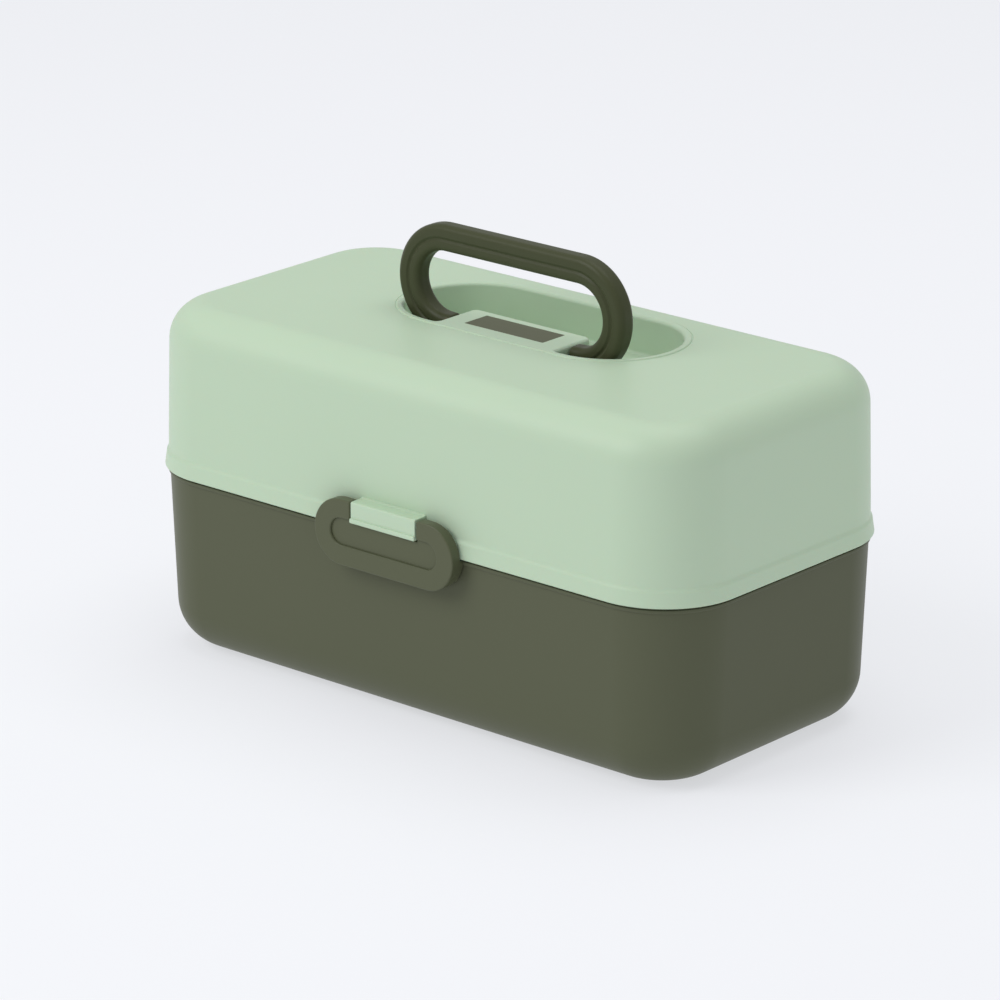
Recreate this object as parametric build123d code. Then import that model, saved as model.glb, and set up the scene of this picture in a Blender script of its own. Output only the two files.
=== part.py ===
from build123d import *
import math
import os

# Sewing box with two cantilever trays. Millimetres, +Z up, X along the length,
# -Y is the latch side, +Y the hinge side. The origin is the centre of the underside.

# ---------------------------------------------------------------- driving dimensions
RIM_HALF_X = 165.0          # half length over the lid's rim band
RIM_HALF_Y = 83.8           # half depth over the lid's rim band
RIM_CORNER = 39.6           # plan radius of the rim band's corners
LID_TOP = 168.2             # height of the lid's flat top
PARTING_Z = 88.8            # lower edge of the lid's rim band
RIM_HEIGHT = 8.0
RIM_WALL = 2.0
WALL = 2.2                  # lid and base wall
FIT_GAP = 0.3               # gap between parts that move against each other
SMALL_GAP = 0.1

# Base tub
BASE_INSET = 2.33           # base wall behind the rim band's face
BASE_DRAFT = 2.05           # degrees
BASE_BOTTOM_RADIUS = 23.0
LIP_TOP = 95.4              # base wall carried up inside the lid's rim
BEAD_Z = 86.2               # small bead just below the parting line
BEAD_HEIGHT = 1.6
BEAD_PROUD = 0.8

# Lid shell
LID_INSET = 1.74            # lid wall behind the rim band's face
LID_DRAFT = 1.46            # degrees
LID_TOP_RADIUS = 18.0
RIM_STEP_Z = 96.0           # underside of the step that passes over the base lip

# Handle recess in the lid
RECESS_LENGTH = 148.0
RECESS_WIDTH = 66.6
RECESS_CENTRE_Y = 20.65
RECESS_FLOOR_Z = 149.9
FLANGE_MARGIN = 3.6         # raised flange around the recess
FLANGE_RISE = 0.4
PLATFORM_HALF_X = 35.3      # platform between the handle's feet
PLATFORM_REAR_Y = 14.2
PLATFORM_BEVEL = 1.2

# Label plate let into the platform
LABEL_LENGTH = 47.1
LABEL_WIDTH = 15.7
LABEL_THICK = 0.8
LABEL_CENTRE_Y = 0.9

# Handle
HANDLE_LENGTH = 135.2
HANDLE_HEIGHT = 55.6
HANDLE_BAND = 12.8          # radial width of the bar
HANDLE_THICK = 10.0
HANDLE_CENTRE_Z = 183.5
HANDLE_AXIS_Y = 0.9         # mid plane of the upright handle
HANDLE_EDGE_RADIUS = 2.8
HANDLE_FOOT_X = 36.0        # inner end of each foot
HANDLE_GROOVE_WIDTH = 1.2
HANDLE_GROOVE_DEPTH = 0.6
HANDLE_PIN_RADIUS = 2.2
HANDLE_PIN_END_X = 31.0
SOCKET_BOSS_RADIUS = 4.2

# Latch
LATCH_LENGTH = 83.6
LATCH_HEIGHT = 31.5
LATCH_CENTRE_Z = 88.15
LATCH_FRONT_Y = -89.8
LATCH_BACK_Y = -82.3        # behind the pivot, below the rim band
LATCH_RIM_BACK_Y = -84.1    # in front of the rim band
LATCH_STEP_Z = 88.3
LATCH_EDGE_RADIUS = 1.0
LATCH_GAP_HALF_X = 20.0     # gap between the two horns
LATCH_GAP_Z = 93.6
LATCH_PANEL_LENGTH = 64.0
LATCH_PANEL_HEIGHT = 12.7
LATCH_PANEL_DEPTH = 1.2
LATCH_PANEL_CENTRE_Z = 88.6
LATCH_AXIS_Y = -85.6
LATCH_AXIS_Z = 76.6
LATCH_HEEL_RADIUS = 4.2
LATCH_PIN_RADIUS = 1.25
LATCH_PIN_HALF_X = 28.0
LUG_X = 20.0
LUG_WIDTH = 6.0
LUG_RADIUS = 2.8
LUG_POCKET_GAP = 0.5

# Strike moulded on the lid, between the latch's horns
STRIKE_HALF_X = 19.4
STRIKE_BOTTOM_Z = 94.2
STRIKE_TOP_Z = 104.2
STRIKE_EDGE_RADIUS = 1.0
STRIKE_LIP_HEIGHT = 2.3
STRIKE_LIP_PROUD = 0.9
STRIKE_LIP_EXTRA_X = 0.2

# Lid hinge
HINGE_Y = 88.2
HINGE_Z = 88.8
HINGE_X = 85.0              # centre of each of the two hinges
KNUCKLE_RADIUS = 3.8
LID_KNUCKLE_LENGTH = 22.0
BASE_KNUCKLE_LENGTH = 9.0
KNUCKLE_GAP = 0.4
HINGE_PIN_RADIUS = 1.6

# Tray linkage: parallel arms in the Y-Z plane, one pair at each end of the box
ARM_LENGTH = 70.0           # base pivot to upper tray pivot
ARM_ANGLE = 12.0            # degrees above level, pointing to the front, lid closed
REAR_PIVOT = (50.0, 88.0)   # (y, z) of the rear arm's pivot on the base
FRONT_PIVOT_STEP = (-30.0, -12.0)
ARM_WIDTH = 10.0
ARM_INNER_X = 153.8
ARM_OUTER_X = 156.8
LINK_WIDTH = 8.0
LINK_INNER_X = 157.2
LINK_OUTER_X = 159.2
PIVOT_RADIUS = 2.0
RUNNING_GAP = 0.06
BASE_BOSS_RADIUS = 6.0
BASE_BOSS_INNER_X = 157.2
LID_BOSS_RADIUS = 5.0
LID_BOSS_INNER_X = 159.5
RIVET_HEAD_RADIUS = 3.4
SMALL_HEAD_RADIUS = 2.9
RIVET_HEAD_THICK = 1.1

# Trays
TRAY_HALF_X = 149.8
TRAY_FRONT_Y = -72.0
TRAY_CORNER = 22.0
TRAY_WALL = 2.0
TRAY_DRAFT = 1.5            # degrees
RIB_THICK = 1.6
RIB_DROP = 2.0              # ribs stop this far below the rim
CROSS_RIBS = 3
TRAY_BOSS_RADIUS = 5.0
TRAY_BOSS_OUTER_X = 153.4
LOWER_TRAY_REAR_Y = 55.0
LOWER_TRAY_Z = (77.0, 102.0)
UPPER_TRAY_REAR_Y = 54.0
UPPER_TRAY_Z = (104.0, 128.0)
LONG_RIB_Y = -32.0          # rib along the upper tray behind its long front channel
EAR_INNER_X = 150.2
EAR_OUTER_X = 153.2
EAR_WIDTH = 12.0
EAR_ROOT_HEIGHT = 9.0

# ---------------------------------------------------------------- derived values
BASE_HALF_X = RIM_HALF_X - BASE_INSET
BASE_HALF_Y = RIM_HALF_Y - BASE_INSET
BASE_CORNER = RIM_CORNER - BASE_INSET
LID_HALF_X = RIM_HALF_X - LID_INSET
LID_HALF_Y = RIM_HALF_Y - LID_INSET
LID_CORNER = RIM_CORNER - LID_INSET
FLANGE_TOP = LID_TOP + FLANGE_RISE
RECESS_FRONT_Y = RECESS_CENTRE_Y - RECESS_WIDTH / 2
HANDLE_AXIS_Z = HANDLE_CENTRE_Z - HANDLE_HEIGHT / 2 + HANDLE_BAND / 2
ARM_DIRECTION = (-math.cos(math.radians(ARM_ANGLE)), math.sin(math.radians(ARM_ANGLE)))
FRONT_PIVOT = (REAR_PIVOT[0] + FRONT_PIVOT_STEP[0], REAR_PIVOT[1] + FRONT_PIVOT_STEP[1])
SIDES = {"left": -1, "right": 1}


def along_arm(start, distance):
    """Point in the Y-Z plane at a distance from start in the closed arm direction."""
    return (start[0] + distance * ARM_DIRECTION[0], start[1] + distance * ARM_DIRECTION[1])


LOWER_REAR_PIVOT = along_arm(REAR_PIVOT, ARM_LENGTH / 2)
LOWER_FRONT_PIVOT = along_arm(FRONT_PIVOT, ARM_LENGTH / 2)
UPPER_REAR_PIVOT = along_arm(REAR_PIVOT, ARM_LENGTH)
UPPER_FRONT_PIVOT = along_arm(FRONT_PIVOT, ARM_LENGTH)
LID_PIVOT = along_arm((HINGE_Y, HINGE_Z), ARM_LENGTH)


# ---------------------------------------------------------------- shape helpers
def span_box(x_span, y_span, z_span):
    """Box between two limits on each axis."""
    size = [abs(high - low) for low, high in (x_span, y_span, z_span)]
    centre = [(low + high) / 2 for low, high in (x_span, y_span, z_span)]
    return Pos(*centre) * Box(*size)


def x_cylinder(radius, x_span, centre_yz):
    """Cylinder along X at a place in the Y-Z plane."""
    x_low, x_high = sorted(x_span)
    place = Pos((x_low + x_high) / 2, centre_yz[0], centre_yz[1]) * Rot(0, 90, 0)
    return place * Cylinder(radius, x_high - x_low)


def plan(half_x, half_y, radius, z, down=False):
    """Rounded rectangle about the Z axis at height z, facing up or down."""
    plane = Plane(origin=(0, 0, z), z_dir=(0, 0, -1 if down else 1))
    return plane * RectangleRounded(2 * half_x, 2 * half_y, radius)


def stadium_block(length, width, centre_y, z_low, z_high):
    """Upright block with a stadium outline."""
    outline = Plane(origin=(0, centre_y, z_low)) * SlotOverall(length, width)
    return extrude(outline, amount=z_high - z_low)


def x_bar(start_yz, end_yz, width, x_span):
    """Flat bar with round ends between two points of the Y-Z plane."""
    x_low, x_high = sorted(x_span)
    reach = (end_yz[0] - start_yz[0], end_yz[1] - start_yz[1])
    middle = (start_yz[0] + reach[0] / 2, start_yz[1] + reach[1] / 2)
    plane = Plane(origin=(x_low, *middle), x_dir=(0, *reach), z_dir=(1, 0, 0))
    return extrude(plane * SlotCenterToCenter(math.hypot(*reach), width), amount=x_high - x_low)


# ---------------------------------------------------------------- base tub
def tub_block(inset, z_floor, z_top, bottom_radius):
    """The tub's outline moved in by inset, as a solid block."""
    half_x = BASE_HALF_X - inset
    half_y = BASE_HALF_Y - inset
    corner = BASE_CORNER - inset
    outline = plan(half_x, half_y, corner, PARTING_Z, down=True)
    lower = extrude(outline, amount=PARTING_Z - z_floor, taper=BASE_DRAFT)
    lower = fillet(lower.edges().group_by(Axis.Z)[0], bottom_radius)
    return lower + extrude(plan(half_x, half_y, corner, PARTING_Z), amount=z_top - PARTING_Z)


def base_bead():
    """Bead round the tub just below the lid."""
    outline = plan(BASE_HALF_X + BEAD_PROUD, BASE_HALF_Y + BEAD_PROUD, BASE_CORNER + BEAD_PROUD, BEAD_Z)
    return extrude(outline, amount=BEAD_HEIGHT)


def knuckle(centre_x, length, web_y, web_z):
    """Hinge knuckle with the web that carries it."""
    x_span = (centre_x - length / 2, centre_x + length / 2)
    barrel = x_cylinder(KNUCKLE_RADIUS, x_span, (HINGE_Y, HINGE_Z))
    return barrel + span_box(x_span, (web_y, HINGE_Y), web_z)


def base_knuckle_centres():
    """X of each base knuckle, one on each side of each lid knuckle."""
    offset = (LID_KNUCKLE_LENGTH + BASE_KNUCKLE_LENGTH) / 2 + KNUCKLE_GAP
    return [side * HINGE_X + step for side in SIDES.values() for step in (-offset, offset)]


def latch_lug(centre_x):
    """Lug on the front wall that the latch turns on."""
    x_span = (centre_x - LUG_WIDTH / 2, centre_x + LUG_WIDTH / 2)
    z_span = (LATCH_AXIS_Z - LUG_RADIUS, LATCH_AXIS_Z + LUG_RADIUS)
    web = span_box(x_span, (LATCH_AXIS_Y, -BASE_HALF_Y + WALL / 2), z_span)
    barrel = x_cylinder(LUG_RADIUS, x_span, (LATCH_AXIS_Y, LATCH_AXIS_Z))
    bore = x_cylinder(LATCH_PIN_RADIUS + RUNNING_GAP, x_span, (LATCH_AXIS_Y, LATCH_AXIS_Z))
    return barrel + web - bore


def make_base_tub():
    """Tub with its bead, hinge knuckles, latch lugs and arm bosses."""
    tub = tub_block(0, 0, LIP_TOP, BASE_BOTTOM_RADIUS) + base_bead()
    web_z = (HINGE_Z - KNUCKLE_RADIUS, PARTING_Z - FIT_GAP)
    for centre_x in base_knuckle_centres():
        tub += knuckle(centre_x, BASE_KNUCKLE_LENGTH, BASE_HALF_Y - WALL / 2, web_z)
    tub -= tub_block(WALL, WALL, LIP_TOP, BASE_BOTTOM_RADIUS - WALL)
    wall_middle = tub_block(WALL / 2, WALL / 2, LIP_TOP, BASE_BOTTOM_RADIUS - WALL / 2)
    for side in SIDES.values():
        for pivot in (REAR_PIVOT, FRONT_PIVOT):
            boss_span = (side * BASE_BOSS_INNER_X, side * BASE_HALF_X)
            bore_span = (side * BASE_BOSS_INNER_X, side * (BASE_HALF_X - WALL))
            tub += x_cylinder(BASE_BOSS_RADIUS, boss_span, pivot) & wall_middle
            tub -= x_cylinder(PIVOT_RADIUS, bore_span, pivot)
        tub += latch_lug(side * LUG_X)
        tub -= hinge_pin(side)
    return tub


# ---------------------------------------------------------------- lid shell
def dome_block(inset, z_low, z_top, top_radius):
    """The lid's outline moved in by inset, as a solid block with a rounded top."""
    outline = plan(LID_HALF_X - inset, LID_HALF_Y - inset, LID_CORNER - inset, z_low)
    block = extrude(outline, amount=z_top - z_low, taper=LID_DRAFT)
    return fillet(block.edges().group_by(Axis.Z)[-1], top_radius)


def rim_band():
    """Band round the lid's lower edge, rounded at its top."""
    band = extrude(plan(RIM_HALF_X, RIM_HALF_Y, RIM_CORNER, PARTING_Z), amount=RIM_HEIGHT)
    return fillet(band.edges().group_by(Axis.Z)[-1], LID_INSET / 2)


def lid_cavity():
    """Hollow of the lid, clear of the pocket that holds the handle."""
    rim_inset = RIM_WALL
    rim = plan(RIM_HALF_X - rim_inset, RIM_HALF_Y - rim_inset, RIM_CORNER - rim_inset, PARTING_Z)
    cavity = extrude(rim, amount=RIM_STEP_Z - PARTING_Z)
    cavity += dome_block(WALL, RIM_STEP_Z, LID_TOP - WALL, LID_TOP_RADIUS - WALL)
    pocket_floor = RECESS_FLOOR_Z - WALL
    cavity -= stadium_block(
        RECESS_LENGTH + 2 * WALL, RECESS_WIDTH + 2 * WALL, RECESS_CENTRE_Y, pocket_floor, LID_TOP
    )
    inside_x = PLATFORM_HALF_X - WALL
    y_span = (RECESS_FRONT_Y - 2 * WALL, PLATFORM_REAR_Y - WALL)
    return cavity + span_box((-inside_x, inside_x), y_span, (pocket_floor, LID_TOP - WALL))


def platform_block():
    """Platform between the handle's feet, its side and rear edges bevelled."""
    x_span = (-PLATFORM_HALF_X, PLATFORM_HALF_X)
    y_span = (RECESS_FRONT_Y - WALL, PLATFORM_REAR_Y)
    block = span_box(x_span, y_span, (RECESS_FLOOR_Z - WALL, FLANGE_TOP))
    top_edges = block.edges().group_by(Axis.Z)[-1]
    return chamfer(top_edges.sort_by(Axis.Y)[1:], PLATFORM_BEVEL)


def handle_recess():
    """Space cut from the lid's top for the handle to fold into."""
    pocket = stadium_block(
        RECESS_LENGTH, RECESS_WIDTH, RECESS_CENTRE_Y, RECESS_FLOOR_Z, FLANGE_TOP
    )
    return pocket - platform_block()


def strike():
    """Catch on the lid's front that sits between the latch's horns."""
    x_span = (-STRIKE_HALF_X, STRIKE_HALF_X)
    block = span_box(x_span, (LATCH_FRONT_Y, -LID_HALF_Y + WALL / 2), (STRIKE_BOTTOM_Z, STRIKE_TOP_Z))
    top_front = block.edges().filter_by(Axis.X).group_by(Axis.Z)[-1].sort_by(Axis.Y)[0]
    block = fillet(top_front, STRIKE_EDGE_RADIUS)
    lip_x = STRIKE_HALF_X + STRIKE_LIP_EXTRA_X
    lip_y = (LATCH_FRONT_Y - STRIKE_LIP_PROUD, LATCH_FRONT_Y + STRIKE_LIP_PROUD)
    lip_z = (STRIKE_BOTTOM_Z, STRIKE_BOTTOM_Z + STRIKE_LIP_HEIGHT)
    return block + span_box((-lip_x, lip_x), lip_y, lip_z)


def handle_sockets(radius, x_inner):
    """Cylinders on the handle's axis at each side of the platform."""
    spans = [(side * x_inner, side * PLATFORM_HALF_X) for side in SIDES.values()]
    return [x_cylinder(radius, span, (HANDLE_AXIS_Y, HANDLE_AXIS_Z)) for span in spans]


def label_pocket():
    """Shallow pocket for the label plate."""
    half_x = LABEL_LENGTH / 2 + SMALL_GAP
    half_y = LABEL_WIDTH / 2 + SMALL_GAP
    y_span = (LABEL_CENTRE_Y - half_y, LABEL_CENTRE_Y + half_y)
    return span_box((-half_x, half_x), y_span, (FLANGE_TOP - LABEL_THICK, FLANGE_TOP))


def make_lid_shell():
    """Lid with its rim band, handle recess, strike, knuckles and link bosses."""
    lid = dome_block(0, PARTING_Z, LID_TOP, LID_TOP_RADIUS) + rim_band()
    lid += stadium_block(
        RECESS_LENGTH + 2 * FLANGE_MARGIN,
        RECESS_WIDTH + 2 * FLANGE_MARGIN,
        RECESS_CENTRE_Y,
        RECESS_FLOOR_Z,
        FLANGE_TOP,
    )
    lid += strike()
    web_z = (PARTING_Z, HINGE_Z + KNUCKLE_RADIUS)
    for side in SIDES.values():
        lid += knuckle(side * HINGE_X, LID_KNUCKLE_LENGTH, RIM_HALF_Y - RIM_WALL / 2, web_z)
    lid -= lid_cavity()
    lid -= handle_recess()
    lid -= label_pocket()
    for boss in handle_sockets(SOCKET_BOSS_RADIUS, HANDLE_PIN_END_X - 2 * FIT_GAP):
        lid += boss
    for bore in handle_sockets(HANDLE_PIN_RADIUS + RUNNING_GAP, HANDLE_PIN_END_X - 2 * FIT_GAP):
        lid -= bore
    for side in SIDES.values():
        boss_span = (side * LID_BOSS_INNER_X, side * (LID_HALF_X - WALL / 2))
        bore_span = (side * LID_BOSS_INNER_X, side * (LID_HALF_X - WALL))
        lid += x_cylinder(LID_BOSS_RADIUS, boss_span, LID_PIVOT)
        lid -= x_cylinder(PIVOT_RADIUS, bore_span, LID_PIVOT)
        half = LID_KNUCKLE_LENGTH / 2
        x_span = (side * HINGE_X - half, side * HINGE_X + half)
        lid -= x_cylinder(HINGE_PIN_RADIUS + RUNNING_GAP, x_span, (HINGE_Y, HINGE_Z))
    return lid


def make_label_plate():
    """Plain plate let into the platform."""
    y_span = (LABEL_CENTRE_Y - LABEL_WIDTH / 2, LABEL_CENTRE_Y + LABEL_WIDTH / 2)
    z_span = (FLANGE_TOP - LABEL_THICK, FLANGE_TOP)
    return span_box((-LABEL_LENGTH / 2, LABEL_LENGTH / 2), y_span, z_span)


def hinge_pin(side):
    """Pin through the three knuckles of one lid hinge."""
    half = LID_KNUCKLE_LENGTH / 2 + KNUCKLE_GAP + BASE_KNUCKLE_LENGTH
    x_span = (side * HINGE_X - half, side * HINGE_X + half)
    return x_cylinder(HINGE_PIN_RADIUS, x_span, (HINGE_Y, HINGE_Z))


# ---------------------------------------------------------------- handle
def handle_ring(inset, width, y_span):
    """Stadium ring in the X-Z plane, open between the feet."""
    plane = Plane(origin=(0, y_span[1], HANDLE_CENTRE_Z), x_dir=(1, 0, 0), z_dir=(0, -1, 0))
    outer = SlotOverall(HANDLE_LENGTH - 2 * inset, HANDLE_HEIGHT - 2 * inset)
    cut = inset + width
    inner = SlotOverall(HANDLE_LENGTH - 2 * cut, HANDLE_HEIGHT - 2 * cut)
    ring = extrude(plane * (outer - inner), amount=y_span[1] - y_span[0])
    z_span = (HANDLE_CENTRE_Z - HANDLE_HEIGHT, HANDLE_CENTRE_Z - HANDLE_HEIGHT / 2 + 2 * HANDLE_BAND)
    return ring - span_box((-HANDLE_FOOT_X, HANDLE_FOOT_X), y_span, z_span)


def is_foot_end(edge):
    """Whether an edge of the bar lies on the flat end of a foot."""
    middle = edge.center()
    return abs(abs(middle.X) - HANDLE_FOOT_X) < SMALL_GAP and middle.Z < HANDLE_CENTRE_Z


def make_handle():
    """C-shaped carrying handle with a groove on both faces and a stub pin on each foot."""
    front = HANDLE_AXIS_Y - HANDLE_THICK / 2
    rear = HANDLE_AXIS_Y + HANDLE_THICK / 2
    bar = handle_ring(0, HANDLE_BAND, (front, rear))
    face_edges = bar.edges().group_by(Axis.Y)[0] + bar.edges().group_by(Axis.Y)[-1]
    long_edges = [edge for edge in face_edges if not is_foot_end(edge)]
    bar = fillet(long_edges, HANDLE_EDGE_RADIUS)
    groove_inset = (HANDLE_BAND - HANDLE_GROOVE_WIDTH) / 2
    for y_span in ((front, front + HANDLE_GROOVE_DEPTH), (rear - HANDLE_GROOVE_DEPTH, rear)):
        bar -= handle_ring(groove_inset, HANDLE_GROOVE_WIDTH, y_span)
    for side in SIDES.values():
        pin_span = (side * HANDLE_PIN_END_X, side * (HANDLE_FOOT_X + HANDLE_BAND / 2))
        bar += x_cylinder(HANDLE_PIN_RADIUS, pin_span, (HANDLE_AXIS_Y, HANDLE_AXIS_Z))
    return bar


# ---------------------------------------------------------------- latch
def latch_plate(length, height, centre_z, y_span):
    """Upright stadium plate between two Y limits."""
    plane = Plane(origin=(0, y_span[1], centre_z), x_dir=(1, 0, 0), z_dir=(0, -1, 0))
    return extrude(plane * SlotOverall(length, height), amount=y_span[1] - y_span[0])


def make_latch():
    """Swinging latch with two horns, a sunk panel and pockets for the lugs."""
    far_x = (-LATCH_LENGTH, LATCH_LENGTH)
    far_z = LATCH_CENTRE_Z + LATCH_HEIGHT
    body = latch_plate(LATCH_LENGTH, LATCH_HEIGHT, LATCH_CENTRE_Z, (LATCH_FRONT_Y, LATCH_BACK_Y))
    body = fillet(body.edges().group_by(Axis.Y)[0], LATCH_EDGE_RADIUS)
    body -= span_box(far_x, (LATCH_RIM_BACK_Y, 0), (LATCH_STEP_Z, far_z))
    gap_x = (-LATCH_GAP_HALF_X, LATCH_GAP_HALF_X)
    body -= span_box(gap_x, (2 * LATCH_FRONT_Y, 0), (LATCH_GAP_Z, far_z))
    panel_y = (LATCH_FRONT_Y, LATCH_FRONT_Y + LATCH_PANEL_DEPTH)
    body -= latch_plate(LATCH_PANEL_LENGTH, LATCH_PANEL_HEIGHT, LATCH_PANEL_CENTRE_Z, panel_y)
    heel = span_box(far_x, (LATCH_AXIS_Y, 0), (0, LATCH_AXIS_Z))
    body -= heel - x_cylinder(LATCH_HEEL_RADIUS, far_x, (LATCH_AXIS_Y, LATCH_AXIS_Z))
    reach = LUG_RADIUS + LUG_POCKET_GAP
    for side in SIDES.values():
        half = LUG_WIDTH / 2 + KNUCKLE_GAP
        x_span = (side * LUG_X - half, side * LUG_X + half)
        body -= span_box(x_span, (LATCH_AXIS_Y - reach, 0), (0, LATCH_AXIS_Z + reach))
    return body - make_latch_pin()


def make_latch_pin():
    """Pin that carries the latch on the two lugs."""
    x_span = (-LATCH_PIN_HALF_X, LATCH_PIN_HALF_X)
    return x_cylinder(LATCH_PIN_RADIUS, x_span, (LATCH_AXIS_Y, LATCH_AXIS_Z))


# ---------------------------------------------------------------- trays
def tray_block(inset, rear_y, z_floor, z_top):
    """A tray's outline moved in by inset, narrowing towards its floor."""
    depth = rear_y - TRAY_FRONT_Y
    half_y = depth / 2 - inset
    centre_y = TRAY_FRONT_Y + depth / 2
    plane = Plane(origin=(0, centre_y, z_top), z_dir=(0, 0, -1))
    outline = plane * RectangleRounded(2 * (TRAY_HALF_X - inset), 2 * half_y, TRAY_CORNER - inset)
    block = extrude(outline, amount=z_top - z_floor, taper=TRAY_DRAFT)
    return fillet(block.edges().group_by(Axis.Z)[0], TRAY_WALL)


def tray_shell(rear_y, z_span):
    """Open tray with a floor."""
    hollow = tray_block(TRAY_WALL, rear_y, z_span[0] + TRAY_WALL, z_span[1])
    return tray_block(0, rear_y, z_span[0], z_span[1]) - hollow


def rib_positions():
    """X of the evenly spaced ribs that part a tray into equal cells."""
    pitch = 2 * TRAY_HALF_X / (CROSS_RIBS + 1)
    return [-TRAY_HALF_X + pitch * (index + 1) for index in range(CROSS_RIBS)]


def cross_ribs(y_span, z_span):
    """Ribs across a tray from its floor to just below its rim."""
    half = RIB_THICK / 2
    z_rib = (z_span[0] + TRAY_WALL / 2, z_span[1] - RIB_DROP)
    return [span_box((x - half, x + half), y_span, z_rib) for x in rib_positions()]


def make_lower_tray():
    """Lower tray: four cells, with a boss for each arm on both ends."""
    tray = tray_shell(LOWER_TRAY_REAR_Y, LOWER_TRAY_Z)
    rib_y = (TRAY_FRONT_Y + TRAY_WALL / 2, LOWER_TRAY_REAR_Y - TRAY_WALL / 2)
    for rib in cross_ribs(rib_y, LOWER_TRAY_Z):
        tray += rib
    for side in SIDES.values():
        for pivot in (LOWER_REAR_PIVOT, LOWER_FRONT_PIVOT):
            boss_span = (side * (TRAY_HALF_X - TRAY_WALL / 2), side * TRAY_BOSS_OUTER_X)
            bore_span = (side * (TRAY_HALF_X - TRAY_WALL / 4), side * TRAY_BOSS_OUTER_X)
            tray += x_cylinder(TRAY_BOSS_RADIUS, boss_span, pivot)
            tray -= x_cylinder(PIVOT_RADIUS, bore_span, pivot)
    return tray


def tray_ear(side, pivot):
    """Ear that hangs from the upper tray's end wall to one arm pivot."""
    plate_x = (side * EAR_INNER_X, side * EAR_OUTER_X)
    root_x = (side * (TRAY_HALF_X - TRAY_WALL / 2), side * EAR_OUTER_X)
    y_span = (pivot[0] - EAR_WIDTH / 2, pivot[0] + EAR_WIDTH / 2)
    z_tray = UPPER_TRAY_Z[0]
    ear = x_cylinder(EAR_WIDTH / 2, plate_x, pivot)
    ear += span_box(plate_x, y_span, (pivot[1], z_tray + TRAY_WALL))
    ear += span_box(root_x, y_span, (z_tray + TRAY_WALL, z_tray + TRAY_WALL + EAR_ROOT_HEIGHT))
    bore_x = (side * (EAR_INNER_X + FIT_GAP), side * EAR_OUTER_X)
    return ear - x_cylinder(PIVOT_RADIUS, bore_x, pivot)


def make_upper_tray():
    """Upper tray: a long front channel and four rear cells, with two ears on both ends."""
    tray = tray_shell(UPPER_TRAY_REAR_Y, UPPER_TRAY_Z)
    z_rib = (UPPER_TRAY_Z[0] + TRAY_WALL / 2, UPPER_TRAY_Z[1] - RIB_DROP)
    half = RIB_THICK / 2
    long_x = TRAY_HALF_X - TRAY_WALL / 2
    tray += span_box((-long_x, long_x), (LONG_RIB_Y - half, LONG_RIB_Y + half), z_rib)
    for rib in cross_ribs((LONG_RIB_Y, UPPER_TRAY_REAR_Y - TRAY_WALL / 2), UPPER_TRAY_Z):
        tray += rib
    for side in SIDES.values():
        for pivot in (UPPER_REAR_PIVOT, UPPER_FRONT_PIVOT):
            tray += tray_ear(side, pivot)
    return tray


# ---------------------------------------------------------------- arms, links and rivets
def make_arm(side, base_pivot):
    """Arm from a base pivot through the lower tray's pivot to the upper tray's."""
    x_span = (side * ARM_INNER_X, side * ARM_OUTER_X)
    arm = x_bar(base_pivot, along_arm(base_pivot, ARM_LENGTH), ARM_WIDTH, x_span)
    for distance in (0, ARM_LENGTH / 2, ARM_LENGTH):
        arm -= x_cylinder(PIVOT_RADIUS + RUNNING_GAP, x_span, along_arm(base_pivot, distance))
    return arm


def make_lid_link(side):
    """Link from the lid to the rear arm's outer end."""
    x_span = (side * LINK_INNER_X, side * LINK_OUTER_X)
    link = x_bar(UPPER_REAR_PIVOT, LID_PIVOT, LINK_WIDTH, x_span)
    for pivot in (UPPER_REAR_PIVOT, LID_PIVOT):
        link -= x_cylinder(PIVOT_RADIUS + RUNNING_GAP, x_span, pivot)
    return link


def rivet(side, pivot, shank_x, head_x, head_radius):
    """Rivet along X: a shank with a flat head at one end."""
    shank = x_cylinder(PIVOT_RADIUS, (side * shank_x[0], side * shank_x[1]), pivot)
    return shank + x_cylinder(head_radius, (side * head_x[0], side * head_x[1]), pivot)


def inner_head(face_x):
    """X span of a rivet head on the inner side of a bar's face."""
    return (face_x - SMALL_GAP - RIVET_HEAD_THICK, face_x - SMALL_GAP)


def outer_head(face_x):
    """X span of a rivet head on the outer side of a bar's face."""
    return (face_x + SMALL_GAP, face_x + SMALL_GAP + RIVET_HEAD_THICK)


def make_base_rivets(side):
    """Two rivets that hold the arms to the base."""
    head = inner_head(ARM_INNER_X)
    shank = (head[0], BASE_HALF_X - WALL)
    return [rivet(side, pivot, shank, head, RIVET_HEAD_RADIUS) for pivot in (REAR_PIVOT, FRONT_PIVOT)]


def make_lower_tray_rivets(side):
    """Two rivets that hold the lower tray to the arms."""
    head = outer_head(ARM_OUTER_X)
    shank = (TRAY_HALF_X - TRAY_WALL / 4, head[1])
    pivots = (LOWER_REAR_PIVOT, LOWER_FRONT_PIVOT)
    return [rivet(side, pivot, shank, head, RIVET_HEAD_RADIUS - 2 * SMALL_GAP) for pivot in pivots]


def make_upper_tray_rivets(side):
    """Rear rivet through ear, arm and link, and front rivet through ear and arm."""
    rear_head = (LINK_OUTER_X + SMALL_GAP, LINK_OUTER_X + RIVET_HEAD_THICK)
    front_head = outer_head(ARM_OUTER_X)
    start = EAR_INNER_X + FIT_GAP
    rear = rivet(side, UPPER_REAR_PIVOT, (start, rear_head[1]), rear_head, RIVET_HEAD_RADIUS)
    front = rivet(side, UPPER_FRONT_PIVOT, (start, front_head[1]), front_head, RIVET_HEAD_RADIUS)
    return [rear, front]


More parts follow.
